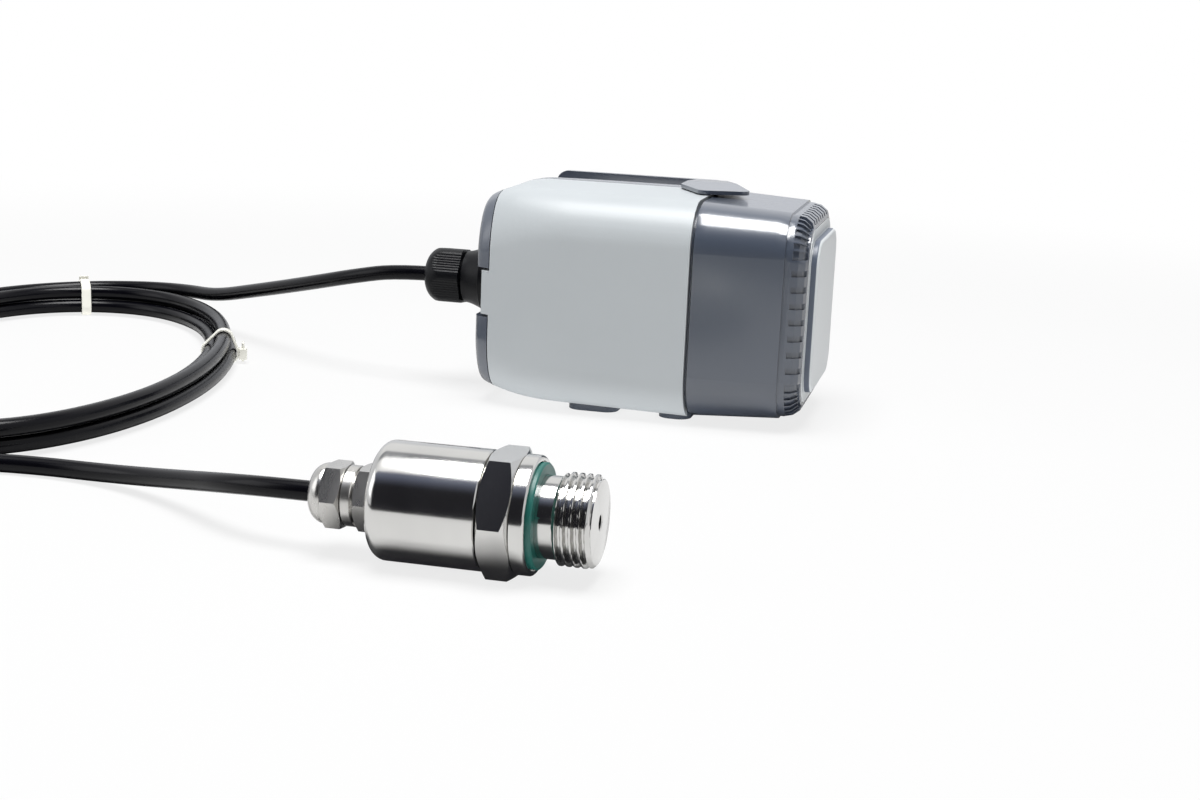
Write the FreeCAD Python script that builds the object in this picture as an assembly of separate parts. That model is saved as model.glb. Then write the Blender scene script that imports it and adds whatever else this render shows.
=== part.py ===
"""Wireless pipe pressure sensor: a sensor case, a stainless pressure probe and the tied cable between them.

The part stands on the floor at z = 0. Both bodies lie along X: the thread and the end cap point to +X.
The origin is under the middle of the two bodies.
"""
import FreeCAD
import Part
import math
import os

V = FreeCAD.Vector
X_AXIS = V(1, 0, 0)

# Driving dimensions in millimetres. Layout of the two bodies
axis_spacing = 186.4
probe_setback = 25.6
gap = 0.3
slip = 0.15
thread_slip = 0.1
seal_slip = 0.1

# Sensor case
body_width = 66.0
case_length = 104.5
parting = 68.0
parting_gap = 0.5
pad_height = 1.0
body_corner = 14.0
gland_taper = 1.0
gland_end_radius = 75.0
gland_end_start = 30.0
round_spans = 4
cover_wall = 2.0
cover_start = 5.0
cover_tab_start = 2.3
cover_seam = 12.5
seam_gap = 0.6
seam_corner = 8.0
channel_side_gap = 0.5
channel_end_gap = 2.0
housing_wall = 2.2
end_wall = 2.5
lobe_round = 4.0
notch_height = 15.1
notch_depth = 5.0
tab_gap = 0.8
gland_rise = 1.2
gland_boss_radius = 12.5
lip_length = 8.0
lip_clearance = 0.2
pad_spans = ((29.5, 45.0), (58.0, parting))
pad_half_width = 22.0
pad_corner = 4.0
pad_gap = 0.4

# End cap, its ribs and its plate
cap_inset = 0.4
cap_wall = 2.2
cap_step_at = 95.3
cap_step = 0.6
cap_band_end = 96.8
cap_end_at = 101.9
cap_taper = 1.5
cap_corner = 12.5
shoulder_drop = 3.7
shoulder_steps = 3
rib_pitch = 4.85
rib_width = 1.8
rib_depth = 0.8
rib_first_angle = 10.0
rib_last_angle = 78.0
rib_count = 9
rib_corner_count = 7
plate_inset = 0.6
plate_seat = 1.5
plate_stand = 0.2
plate_rim = 3.0
plate_round = 1.2
plate_corner = 11.0
gasket_at = 3.0
gasket_width = 2.0
gasket_groove = 1.2

# Cap screws and their posts
screw_offset = 20.0
post_web = 2.4
post_radius = 4.2
screw_radius = 1.5
screw_head_radius = 2.8
screw_head_height = 3.0
screw_length = 32.0
screw_socket_flats = 2.5
screw_clearance_radius = 1.7
screw_pilot_radius = 1.6

# Wall and pole bracket
bracket_start = 8.5
bracket_end = 66.0
bracket_rise = 6.0
bracket_plate = 2.2
bracket_corner = 4.0
foot_start = 50.0
foot_end = 62.0
foot_inner = 13.0
foot_outer = 18.5
foot_ramp = 6.0
bracket_clearance = 0.4
tongue_plan = ((-12.0, 8.5), (-3.0, -7.0), (12.0, -2.0), (3.0, 22.0))
tongue_bend = 20.0
tongue_thickness = 1.2
tongue_corner = 3.0
rail_start = 20.0
rail_length = 40.0
rail_neck = 7.0
rail_head = 9.5
rail_head_height = 1.6
rail_top_gap = 1.2
hook_inner = 7.4
hook_outer = 12.0
hook_wall = 2.0
hook_lip = 1.3
hook_first_length = 14.0
hook_second_start = 54.0
crossbar = 1.7
bracket_screw_spacing = 32.0
bracket_screw_radius = 2.1
bracket_sink_radius = 3.4
strap_slot_length = 14.0
strap_slot_width = 4.4
strap_slot_at = 15.2
strap_slot_middle = 39.0

# Battery, cradle and electronics
cell_radius = 17.1
cell_length = 61.5
cell_start = 19.2
cell_pole_radius = 3.0
cell_pole_height = 1.5
cradle_wall = 1.6
cradle_end_wall = 1.4
cradle_floor_gap = 0.2
post_clearance = 0.2
cell_chamfer = 1.0
board_lift = 1.4
board_half_width = 22.0
board_thickness = 1.6
board_start = 18.0
board_length = 62.0
terminal_length = 9.0
terminal_half_width = 11.0
terminal_height = 6.4
terminal_ways = 5
terminal_way = 2.4
terminal_step = 2.0
terminal_hole_depth = 4.0
terminal_pit_depth = 2.0
radio_length = 16.0
radio_half_width = 8.0
radio_board = 0.8
shield_height = 2.0
antenna_length = 20.0
antenna_headroom = 3.0
antenna_thickness = 1.0
antenna_offset = 13.5
usb_width = 9.0
usb_height = 3.2
usb_length = 7.4
usb_wall = 0.4
button_size = 6.0
button_height = 3.5
button_inset = 6.0
button_offset = -11.0
plunger_radius = 1.7
plunger_height = 1.5
plunger_seat = 1.0
led_inset = 14.0
led_size = 2.0
led_height = 0.8

# Cable and the nylon gland of the case
cable_radius = 2.4
cable_sides = 8
cable_entry = 8.0
gland_reach = 24.4
gland_washer = 1.2
gland_washer_radius = 10.6
gland_flange_radius = 10.8
gland_flange_length = 3.8
gland_hex_flats = 19.0
gland_hex_end = 12.9
gland_thread_radius = 6.0
gland_thread_inside = 5.0
gland_barrel_radius = 7.2
gland_barrel_end = 20.0
gland_seal_radius = 5.2
gland_seal_length = 10.0
gland_nut_radius = 8.6
gland_nut_dome = 4.0
nut_gap = 0.2
nut_lip = 0.7
dome_steps = 5
gland_mouth_radius = 3.1
gland_grips = 18
gland_grip_width = 0.9
gland_grip_depth = 0.4
locknut_flats = 17.0
locknut_thickness = 4.0

# Pressure probe, measured back from the thread's end face
thread_radius = 10.4775
thread_length = 9.0
thread_chamfer = 1.0
neck_radius = 9.3
inlet_radius = 1.7
collar_start = 14.0
collar_radius = 13.5
hex_start = 17.3
hex_end = 25.2
hex_flats = 27.0
hex_chamfer_flat = 0.55
seal_thickness = 2.4
seal_radius = 12.0
seal_sink = 1.2
seal_chamfer = 0.3
spigot_radius = 12.3
spigot_length = 8.0
tube_radius = 13.7
tube_bore_radius = 12.4
tube_end = 51.0
tube_end_wall = 2.5
tube_round = 3.0
capsule_radius = 9.5
capsule_start = 20.4
capsule_length = 10.0
capsule_bore_radius = 9.6
capsule_groove_start = 3.0
capsule_groove_width = 2.2
capsule_ring_section = 0.9
header_radius = 6.5
header_height = 0.8
retainer_length = 2.6
retainer_bore_radius = 7.5
retainer_slot = 2.0
retainer_slot_depth = 1.0
ring_slip = 0.05
probe_board_half_width = 12.1
probe_board_clearance = 0.6

# Steel gland of the probe, measured back from the tube's end
probe_gland_washer = 0.5
probe_gland_base = 4.5
probe_gland_flats = 14.0
probe_gland_groove = 0.5
probe_gland_collar_end = 7.4
probe_gland_collar_radius = 7.0
probe_gland_barrel_radius = 5.6
probe_gland_barrel_end = 13.5
probe_gland_thread_radius = 4.0
probe_gland_thread_inside = 2.0
probe_gland_washer_radius = 6.6
probe_gland_seal_radius = 4.3
probe_gland_seal_length = 7.0
probe_gland_hex_length = 4.8
probe_gland_end = 16.0
probe_gland_mouth_radius = 2.9

# Coil of the cable: an oval wound in two layers
coil_middle = V(-181.0, 40.0, 0)
coil_long_half = 117.0
coil_short_half = 60.5
coil_tilt = 106.4
coil_first_angle = -45.0
coil_quarter_turns = 14
coil_pitch = 5.5
coil_layer = 5.35
coil_fan = 0.6
coil_fan_tight_angle = 325.0
coil_entry_rise = 6.0
tie_thickness = 0.8
tie_width = 3.2
tie_clearance = 0.1
tie_angles = (8.0, 282.0)
tie_head = (5.0, 4.2, 3.4)

# Places worked out from the dimensions above
probe_z = tube_radius
hex_corner = hex_flats / 2 / math.cos(math.radians(30))
case_z = body_width / 2 + pad_height
bracket_back = body_width / 2 + bracket_rise
bracket_half_height = body_width / 2 + bracket_clearance
case_origin = V(gland_reach - (case_length + gland_reach) / 2,
                (hex_corner + axis_spacing + bracket_back) / 2 - bracket_back, case_z)
probe_origin = V(case_origin.x + case_length - probe_setback, case_origin.y - axis_spacing, probe_z)
cradle_half = cell_radius + gap + cradle_wall
button_at = board_start + board_length - button_inset
led_at = board_start + board_length - led_inset
screw_seat = cap_end_at - plate_seat - screw_head_height
pilot_end = screw_seat - screw_length - 2


def save(name, shape):
    """Writes one piece and prints its number of solids and its volume."""
    shape = shape.removeSplitter() if shape.ShapeType != "Compound" else shape
    print("%-22s solids %d volume %.1f valid %s" % (name, len(shape.Solids), shape.Volume, shape.isValid()))
    shape.exportStep("parts/" + name + ".step")


def box(x0, x1, y0, y1, z0, z1):
    return Part.makeBox(x1 - x0, y1 - y0, z1 - z0, V(x0, y0, z0))


def rod(radius, x0, x1, y=0.0, z=0.0):
    """A round bar along X."""
    return Part.makeCylinder(radius, x1 - x0, V(x0, y, z), X_AXIS)


def upright(radius, x, y, z0, z1):
    return Part.makeCylinder(radius, z1 - z0, V(x, y, z0))


def turned(outline):
    """A body of revolution about X, from its half outline of (x, radius) points."""
    points = [V(x, 0, r) for x, r in outline]
    return Part.Face(Part.makePolygon(points + points[:1])).revolve(V(0, 0, 0), X_AXIS, 360)


def hexagon(flats, x0, x1, corner_angle=0.0):
    """A hexagonal bar along X with one corner at corner_angle from the Y axis."""
    reach = flats / 2 / math.cos(math.radians(30))
    turns = [math.radians(corner_angle + 60 * k) for k in range(7)]
    ring = Part.makePolygon([V(x0, reach * math.cos(a), reach * math.sin(a)) for a in turns])
    return Part.Face(ring).extrude(V(x1 - x0, 0, 0))


def rounded_square(x, half, corner):
    """A rounded square wire across X."""
    flat = half - corner
    bend = corner * math.sin(math.radians(45))
    edges = []
    for k in range(4):
        turn = FreeCAD.Rotation(X_AXIS, 90 * k)
        side = [turn.multVec(V(x, half, p)) for p in (-flat, flat)]
        arc = [turn.multVec(V(x, p, q)) for p, q in ((half, flat), (flat + bend, flat + bend), (flat, half))]
        edges.append(Part.LineSegment(*side).toShape())
        edges.append(Part.Arc(*arc).toShape())
    return Part.Wire(edges)


def body_half(x):
    """Half the width of the covers at x: a long taper, then the rounding towards the gland."""
    half = body_width / 2 - gland_taper * (parting - x) / parting
    reach = max(0.0, gland_end_start - x)
    return half - gland_end_radius + math.sqrt(gland_end_radius ** 2 - reach ** 2)


def body_form(x0, x1, inset, smooth=False):
    """The tapered form of the body between x0 and x1, this far inside its surface, rounded near the gland.

    The rounding is one smooth surface where it shows, and short straight spans inside the case."""
    stops = [gland_end_start * k / round_spans for k in range(round_spans + 1)]
    stops = [x0] + [x for x in stops if x0 + 1 < x < x1 - 1] + [x1]
    wires = [rounded_square(x, body_half(x) - inset, body_corner - inset) for x in stops]
    if smooth:
        return Part.makeLoft(wires[:-1], True, False).fuse(Part.makeLoft(wires[-2:], True, True))
    return Part.makeLoft(wires, True, True)


def cap_half(x):
    """Half the width of the end cap at x, up to its step."""
    return body_width / 2 - cap_inset - cap_taper * (x - parting) / (cap_step_at - parting)


def cap_form(x0, x1, inset):
    blend = (body_corner - cap_corner) / (cap_step_at - parting)
    wires = [rounded_square(x, cap_half(x) - inset, body_corner - blend * (x - parting) - inset)
             for x in (x0, x1)]
    return Part.makeLoft(wires, True, True)


def inner_half(x):
    """Half the width of the room inside the housing at x."""
    return body_half(x) - cover_wall - slip - housing_wall


def mouth_half():
    """Half the width of the room inside the housing's lip."""
    return cap_half(parting + lip_length) - cap_wall - lip_clearance - housing_wall


def screw_places():
    return [(y * screw_offset, z * screw_offset) for y in (-1, 1) for z in (-1, 1)]


def webbed_post(y, z, x0, x1):
    """A screw post with the web that joins it to the corner of the wall."""
    web = box(x0, x1, -post_web / 2, post_web / 2, 0, body_corner)
    web.rotate(V(0, 0, 0), X_AXIS, math.degrees(math.atan2(-y, z)))
    web.translate(V(0, y, z))
    return rod(post_radius, x0, x1, y, z).fuse(web)


def clear_of_posts(shape, x0, x1):
    """Cuts a piece inside the housing clear of the four screw posts."""
    for y, z in screw_places():
        shape = shape.cut(rod(post_radius + post_clearance, x0, x1, y, z))
    return shape


def on_back(shape):
    """Turns a piece that was made over the top onto the case's back."""
    shape.rotate(V(0, 0, 0), X_AXIS, -90)
    return shape


def bracket_rail():
    """The T rail on the case's back, which the bracket's hooks slide along."""
    rail_end = rail_start + rail_length
    top = bracket_back - bracket_plate - rail_top_gap
    neck = box(rail_start, rail_end, -rail_neck, rail_neck, body_width / 2 - cover_wall - 2.5, top)
    head = box(rail_start, rail_end, -rail_head, rail_head, top - rail_head_height, top)
    return on_back(neck.fuse(head))


def inner_housing():
    """The inner box: rounded lobes at the gland's end, walls under the covers and the lip under the cap."""
    skin = cover_wall + slip
    lobes = body_form(0, cover_start - gap, 0)
    lobes = lobes.makeFillet(lobe_round, [e for e in lobes.Edges if e.BoundBox.XMax < 0.01])
    lobes = lobes.common(box(-1, cover_start - gap, -50, 50, -50, 50))
    body = lobes.fuse(body_form(cover_start - gap - 0.5, parting, skin))
    lip_skin = cap_wall + lip_clearance
    lip = cap_form(parting, parting + lip_length, lip_skin)
    body = body.fuse(lip)
    inside = body_form(cover_start + end_wall, parting, skin + housing_wall)
    mouth = rounded_square(parting - 1, mouth_half(), body_corner - lip_skin - housing_wall)
    body = body.cut(inside).cut(Part.Face(mouth).extrude(V(lip_length + 2, 0, 0)))
    for y, z in screw_places():
        post = webbed_post(y, z, cover_start + end_wall - 0.5, parting + lip_length)
        post = post.common(body_form(1, parting + 1, skin + housing_wall / 2).fuse(
            cap_form(parting, parting + lip_length, lip_skin + housing_wall / 2)))
        body = body.fuse(post).cut(rod(screw_pilot_radius, pilot_end, parting + lip_length + 1, y, z))
    groove = cap_form(parting + gasket_at, parting + gasket_at + gasket_width + 2 * slip, lip_skin - 1)
    groove = groove.cut(cap_form(parting, parting + lip_length, lip_skin + gasket_groove))
    body = body.cut(groove)
    notch = box(-1, notch_depth, -50, 50, gland_rise - notch_height / 2, gland_rise + notch_height / 2)
    notch = notch.cut(rod(gland_boss_radius, -2, notch_depth + 1, 0, gland_rise))
    body = body.cut(notch)
    body = body.cut(rod(gland_thread_radius + slip, -1, cover_start + end_wall + 1, 0, gland_rise))
    for x0, x1 in pad_spans:
        pad = box(x0, x1, -pad_half_width, pad_half_width,
                  -body_width / 2 - pad_height, -body_width / 2 + cover_wall + 1.5)
        pad = pad.makeFillet(pad_corner, [e for e in pad.Edges if e.BoundBox.ZLength > 2])
        body = body.fuse(pad)
    return body.fuse(bracket_rail())


def cover_shell():
    """The shell that both covers are cut from, with its tab in the gland notch and its cut-outs for the pads."""
    shell = body_form(cover_tab_start, parting - parting_gap, 0, smooth=True)
    shell = shell.cut(body_form(0, parting, cover_wall))
    tab = notch_height / 2 - tab_gap
    for z0, z1 in ((gland_rise + tab, 50), (-50, gland_rise - tab)):
        shell = shell.cut(box(0, cover_start, -50, 50, z0, z1))
    side = pad_half_width + pad_gap
    for x0, x1 in pad_spans:
        shell = shell.cut(box(x0 - pad_gap, x1 + pad_gap, -side, side, -50, -20))
    return shell


def near_side_cover():
    """The light C shaped cover over the front, the top and the bottom, with rounded corners at the cap."""
    reach = box(0, parting - parting_gap, -50, cover_seam, -50, 50)
    corner = [e for e in reach.Edges if e.BoundBox.XMin > 1 and e.BoundBox.YMin > 1 and e.BoundBox.ZLength > 1]
    return cover_shell().common(reach.makeFillet(seam_corner, corner))


def far_side_cover():
    """The slate cover over the back, with the channel in which the bracket's hooks slide."""
    shell = cover_shell().common(box(0, parting, cover_seam + seam_gap, 50, -50, 50))
    side = hook_outer + channel_side_gap
    return shell.cut(box(-1, rail_start + rail_length + channel_end_gap, 0, 50, -side, side))


def band_half():
    """Half the width of the cap behind its step."""
    return cap_half(cap_step_at) - cap_step


def end_half():
    return band_half() - shoulder_drop


def end_corner():
    return plate_corner + plate_inset


def plate_half():
    return end_half() - plate_inset


def grip_groove(drop):
    """One groove of the grip ring, where the rounded shoulder comes in by this much up to the cap's end."""
    depth = cap_end_at - cap_band_end
    y = -rib_width / 2
    step = (rib_last_angle - rib_first_angle) / shoulder_steps
    turns = [math.radians(rib_first_angle + step * k) for k in range(shoulder_steps + 1)]
    floor = [V(cap_band_end + (depth - rib_depth) * math.sin(a), y,
               band_half() - drop + (drop - rib_depth) * math.cos(a)) for a in turns]
    top = band_half() + 2
    over = [V(cap_end_at + 2, y, floor[-1].z), V(cap_end_at + 2, y, top), V(floor[0].x, y, top)]
    return Part.Face(Part.makePolygon(floor + over + floor[:1])).extrude(V(0, rib_width, 0))


def grip_grooves():
    """The grooves on the cap's rounded shoulder, straight on the sides and fanned at the corners."""
    flat = band_half() - cap_corner
    end_flat = end_half() - end_corner()
    grooves = []
    for k in range(rib_count):
        at = (k - (rib_count - 1) / 2) * rib_pitch
        beyond = max(0.0, abs(at) - end_flat)
        groove = grip_groove(shoulder_drop + end_corner() - math.sqrt(end_corner() ** 2 - beyond ** 2))
        groove.translate(V(0, at, 0))
        grooves.append(groove)
    for k in range(rib_corner_count):
        turn = 90 * (k + 1) / (rib_corner_count + 1)
        shift = flat - end_flat
        lean = shift * (math.sin(math.radians(turn)) + math.cos(math.radians(turn)))
        reach = math.sqrt(lean ** 2 - 2 * shift ** 2 + end_corner() ** 2) - lean
        groove = grip_groove(cap_corner - reach)
        groove.translate(V(0, 0, -flat))
        groove.rotate(V(0, 0, 0), X_AXIS, turn)
        groove.translate(V(0, -flat, flat))
        grooves.append(groove)
    cuts = []
    for quarter in range(4):
        for groove in grooves:
            cut = groove.copy()
            cut.rotate(V(0, 0, 0), X_AXIS, 90 * quarter)
            cuts.append(cut)
    return cuts


def cap_shoulder():
    """The cap's round shoulder, a quarter of an ellipse in short straight spans."""
    wires = []
    for k in range(shoulder_steps + 1):
        turn = math.radians(90 * k / shoulder_steps)
        in_by = 1 - math.cos(turn)
        wires.append(rounded_square(cap_band_end + (cap_end_at - cap_band_end) * math.sin(turn),
                                    band_half() - shoulder_drop * in_by,
                                    cap_corner + (end_corner() - cap_corner) * in_by))
    return Part.makeLoft(wires, True, True)


def end_cap():
    """The slate cap: a tapered shell with a step, a rounded shoulder with grip grooves and four screw columns."""
    wires = [rounded_square(x, band_half(), cap_corner) for x in (cap_step_at, cap_band_end)]
    band = Part.makeLoft(wires, True, True)
    solid = cap_form(parting + parting_gap, cap_step_at, 0).fuse(band).fuse(cap_shoulder())
    inside = cap_form(parting, cap_step_at - cap_wall, cap_wall)
    solid = solid.cut(inside)
    column_start = parting + lip_length + gap
    for y, z in screw_places():
        column = webbed_post(y, z, column_start, cap_step_at)
        column = column.common(cap_form(parting + parting_gap, cap_step_at, cap_wall / 2))
        solid = solid.fuse(column).cut(rod(screw_clearance_radius, column_start - 1, cap_end_at, y, z))
        solid = solid.cut(rod(screw_head_radius + slip, screw_seat, cap_end_at + 1, y, z))
    seat = rounded_square(cap_end_at - plate_seat, plate_half() + slip, plate_corner + slip)
    solid = solid.cut(Part.Face(seat).extrude(V(plate_seat + 1, 0, 0)))
    for groove in grip_grooves():
        solid = solid.cut(groove)
    return solid


def end_plate():
    """The pale plate clipped over the cap's screws: a flat rim round a raised panel with a rounded edge."""
    x0 = cap_end_at - plate_seat
    rim_end = cap_end_at + plate_stand
    plate = Part.Face(rounded_square(x0, plate_half(), plate_corner)).extrude(V(rim_end - x0, 0, 0))
    panel = rounded_square(rim_end - 1, plate_half() - plate_rim, plate_corner - plate_rim)
    panel = Part.Face(panel).extrude(V(case_length - rim_end + 1, 0, 0))
    panel = panel.makeFillet(plate_round, [e for e in panel.Edges if e.BoundBox.XMin > case_length - 0.01])
    return plate.fuse(panel)


def cap_gasket():
    skin = cap_wall + lip_clearance
    x0 = parting + gasket_at + slip
    ring = cap_form(x0, x0 + gasket_width, skin - lip_clearance / 2)
    return ring.cut(cap_form(parting, parting + lip_length, skin + gasket_groove - 0.1))


def cap_screws():
    screws = []
    head_end = screw_seat + screw_head_height
    for y, z in screw_places():
        head = rod(screw_head_radius, screw_seat, head_end - 0.2, y, z)
        socket = hexagon(screw_socket_flats, screw_seat + 1.2, head_end)
        socket.translate(V(0, y, z))
        screws.append(head.cut(socket).fuse(rod(screw_radius, screw_seat - screw_length, screw_seat, y, z)))
    return Part.makeCompound(screws)


def bracket_tongue():
    """The flat tongue that reaches from the bracket's plate over the joint between the near cover and the cap.

    Its outline is given from the joint and the case's middle, and its rear part slopes down to the plate."""
    root = bracket_back - bracket_plate / 2
    low = body_width / 2 + bracket_clearance
    high = low + tongue_thickness
    plan = [(parting + x, y) for x, y in tongue_plan]
    plan = [(plan[0][0], root)] + plan + [(bracket_end, root)]
    points = [V(x, y, 0) for x, y in plan]
    tongue = Part.Face(Part.makePolygon(points + points[:1])).extrude(V(0, 0, 2 * high))
    bends = [e for e in tongue.Edges if e.BoundBox.ZLength > high and e.BoundBox.YMax < root - 1]
    tongue = tongue.makeFillet(tongue_corner, bends)
    side = [(-root, low), (tongue_bend, low), (root, bracket_half_height - tongue_thickness),
            (root, bracket_half_height), (tongue_bend, high), (-root, high)]
    points = [V(0, y, z) for y, z in side]
    return tongue.common(Part.Face(Part.makePolygon(points + points[:1])).extrude(V(2 * parting, 0, 0)))


def bracket():
    """The wall and pole bracket on the case's back: plate, feet, hooks for the rail, screw holes, strap slots
    and the tongue over the top."""
    under = bracket_back - bracket_plate
    half = bracket_half_height
    plate = box(bracket_start, bracket_end, -half, half, under, bracket_back)
    plate = plate.makeFillet(bracket_corner, [e for e in plate.Edges if e.BoundBox.ZLength > 1])
    foot_z = body_width / 2 + bracket_clearance
    ramp = [(foot_start, under), (foot_start + foot_ramp, foot_z), (foot_end, foot_z), (foot_end, under)]
    for y0, y1 in ((-foot_outer, -foot_inner), (foot_inner, foot_outer)):
        points = [V(x, y0, z) for x, z in ramp]
        plate = plate.fuse(Part.Face(Part.makePolygon(points + points[:1])).extrude(V(0, y1 - y0, 0)))
    rail_top = under - rail_top_gap
    hook_top = rail_top - rail_head_height - gap
    for x0, x1 in ((rail_start, rail_start + hook_first_length), (hook_second_start, rail_start + rail_length)):
        for side_sign in (-1, 1):
            wall = box(x0, x1, hook_outer - hook_wall, hook_outer, hook_top - hook_lip, under)
            lip = box(x0, x1, hook_inner, hook_outer, hook_top - hook_lip, hook_top)
            hook = wall.fuse(lip)
            plate = plate.fuse(hook if side_sign > 0 else hook.mirror(V(0, 0, 0), V(0, 1, 0)))
    bar_end = rail_start - gap
    plate = plate.fuse(box(bar_end - crossbar, bar_end, -rail_head, rail_head, rail_top - rail_head_height, under))
    for x in (-1, 1):
        at = strap_slot_middle + x * bracket_screw_spacing / 2
        plate = plate.cut(upright(bracket_screw_radius, at, 0, under - 1, bracket_back + 1))
        sink = Part.makeCone(bracket_sink_radius, bracket_screw_radius,
                             bracket_sink_radius - bracket_screw_radius, V(at, 0, under))
        plate = plate.cut(sink)
    for y in (-strap_slot_at, strap_slot_at):
        plate = plate.cut(box(strap_slot_middle - strap_slot_length / 2, strap_slot_middle + strap_slot_length / 2,
                              y - strap_slot_width / 2, y + strap_slot_width / 2, under - 1, bracket_back + 1))
    return on_back(plate).fuse(bracket_tongue())


def cell_z():
    """Height of the battery's axis: the cradle lies on the housing's floor at the cradle's gland end."""
    return -inner_half(cell_start - cradle_end_wall) + cradle_floor_gap + cradle_half


def board_z():
    return cell_z() + cell_radius + board_lift


def battery():
    cell = rod(cell_radius, cell_start, cell_start + cell_length - cell_pole_height, 0, cell_z())
    cell = cell.makeChamfer(cell_chamfer, [e for e in cell.Edges if e.Length > 2 * cell_radius and e.Closed])
    pole = rod(cell_pole_radius, cell_start + cell_length - cell_pole_height - 1, cell_start + cell_length,
               0, cell_z())
    return cell.fuse(pole)


def battery_cradle():
    """A tray round the lower half of the cell, with end walls and sides that carry the board."""
    x0 = cell_start - gap - cradle_end_wall
    x1 = cell_start + cell_length + gap + cradle_end_wall
    z = cell_z()
    tray = rod(cradle_half, x0, x1, 0, z).common(box(x0, x1, -50, 50, -50, z))
    for y0, y1 in ((-cradle_half, cradle_wall - cradle_half), (cradle_half - cradle_wall, cradle_half)):
        tray = tray.fuse(box(x0, x1, y0, y1, z, board_z()))
    tray = tray.cut(rod(cell_radius + gap, x0 + cradle_end_wall, x1 - cradle_end_wall, 0, z))
    for end in (x0, x1 - cradle_end_wall):
        wall = rod(cradle_half, end, end + cradle_end_wall, 0, z).common(box(x0, x1, -50, 50, -50, board_z() - gap))
        tray = tray.fuse(wall)
    return clear_of_posts(tray, x0 - 1, x1 + 1)


def main_board():
    board_end = board_start + board_length
    board = box(board_start, board_end, -board_half_width, board_half_width, board_z(), board_z() + board_thickness)
    board = board.makeFillet(2.0, [e for e in board.Edges if e.BoundBox.ZLength > 1])
    return clear_of_posts(board, board_start - 1, board_end + 1)


def on_board(x0, x1, y0, y1, height, lift=0.0):
    """A block that stands on the board's upper face."""
    z = board_z() + board_thickness + lift
    return box(x0, x1, y0, y1, z, z + height)


def terminal_block():
    """A row of screw terminals: a stepped block with a wire hole and a screw pit for each way."""
    x0 = board_start + 3
    block = on_board(x0, x0 + terminal_length, -terminal_half_width, terminal_half_width, terminal_height)
    step_height = terminal_height - terminal_step
    block = block.cut(on_board(x0 - 1, x0 + terminal_step, -50, 50, 50, step_height))
    pitch = 2 * terminal_half_width / terminal_ways
    way = terminal_way / 2
    z = board_z() + board_thickness
    for k in range(terminal_ways):
        y = -terminal_half_width + pitch * (k + 0.5)
        block = block.cut(box(x0 - 1, x0 + terminal_hole_depth, y - way, y + way, z + 1, z + 1 + terminal_way))
        pit_x = x0 + (terminal_step + terminal_length) / 2
        block = block.cut(upright(way, pit_x, y, z + terminal_height - terminal_pit_depth, z + 50))
    return block


def radio_module():
    x0 = board_start + 22
    x1 = x0 + radio_length
    carrier = on_board(x0, x1, -radio_half_width, radio_half_width, radio_board)
    shield = on_board(x0 + 1.2, x1 - 3, 1 - radio_half_width, radio_half_width - 1, shield_height, radio_board)
    shield = shield.makeFillet(0.5, [e for e in shield.Edges if e.BoundBox.ZLength > 1])
    return carrier.fuse(shield)


def antenna():
    x0 = board_start + 32
    height = mouth_half() - antenna_headroom - board_z() - board_thickness
    return on_board(x0, x0 + antenna_length, antenna_offset, antenna_offset + antenna_thickness, height)


def usb_socket():
    x1 = board_start + board_length + 0.6
    shell = on_board(x1 - usb_length, x1, -usb_width / 2, usb_width / 2, usb_height)
    shell = shell.makeFillet(1.2, [e for e in shell.Edges if e.BoundBox.XLength > 2])
    mouth = on_board(x1 - usb_length + 1, x1 + 1, usb_wall - usb_width / 2, usb_width / 2 - usb_wall,
                     usb_height - 2 * usb_wall, usb_wall)
    tongue = on_board(x1 - usb_length, x1 - 0.8, -3.3, 3.3, 0.7, usb_height / 2 - 0.35)
    return shell.cut(mouth).fuse(tongue)


def status_led():
    return on_board(led_at, led_at + led_size, button_offset, button_offset + led_size, led_height)


def button_switch():
    half = button_size / 2
    body = on_board(button_at - half, button_at + half, button_offset - half, button_offset + half, button_height)
    top = board_z() + board_thickness + button_height
    return body.cut(upright(plunger_radius + slip, button_at, button_offset, top - plunger_seat, top + 1))


def power_button():
    top = board_z() + board_thickness + button_height
    base = top - plunger_seat + gap + 0.1
    cap = upright(plunger_radius, button_at, button_offset, base, top + plunger_height)
    return cap.makeChamfer(0.4, [e for e in cap.Edges if e.BoundBox.ZMin > top + plunger_height - 0.01])


def on_gland_axis(shape):
    shape.translate(V(0, 0, gland_rise))
    return shape


def case_gland_body():
    """The gland's body: flange, hexagon, barrel for the nut and the thread through the housing's wall."""
    flange_end = gland_washer + gland_flange_length
    body = rod(gland_flange_radius, -flange_end, -gland_washer)
    body = body.fuse(hexagon(gland_hex_flats, -gland_hex_end, -flange_end, 30))
    body = body.fuse(rod(gland_barrel_radius, -gland_barrel_end, -gland_hex_end))
    body = body.fuse(rod(gland_thread_radius, -gland_washer, cover_start + end_wall + gland_thread_inside))
    body = body.cut(rod(cable_radius + gap, -gland_barrel_end - 1, 20))
    seat = rod(gland_seal_radius + thread_slip, -gland_barrel_end - 1, gland_seal_length - gland_barrel_end)
    return on_gland_axis(body.cut(seat))


def case_gland_washer():
    return on_gland_axis(rod(gland_washer_radius, -gland_washer, 0).cut(rod(gland_thread_radius + slip, -5, 5)))


def case_gland_locknut():
    x0 = cover_start + end_wall
    nut = hexagon(locknut_flats, x0, x0 + locknut_thickness)
    return on_gland_axis(nut.cut(rod(gland_thread_radius + thread_slip, x0 - 1, x0 + locknut_thickness + 1)))


def case_gland_seal():
    end = -gland_barrel_end
    seal = rod(gland_seal_radius, end, end + gland_seal_length)
    return on_gland_axis(seal.cut(rod(cable_radius + seal_slip, end - 1, end + gland_seal_length + 1)))


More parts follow.
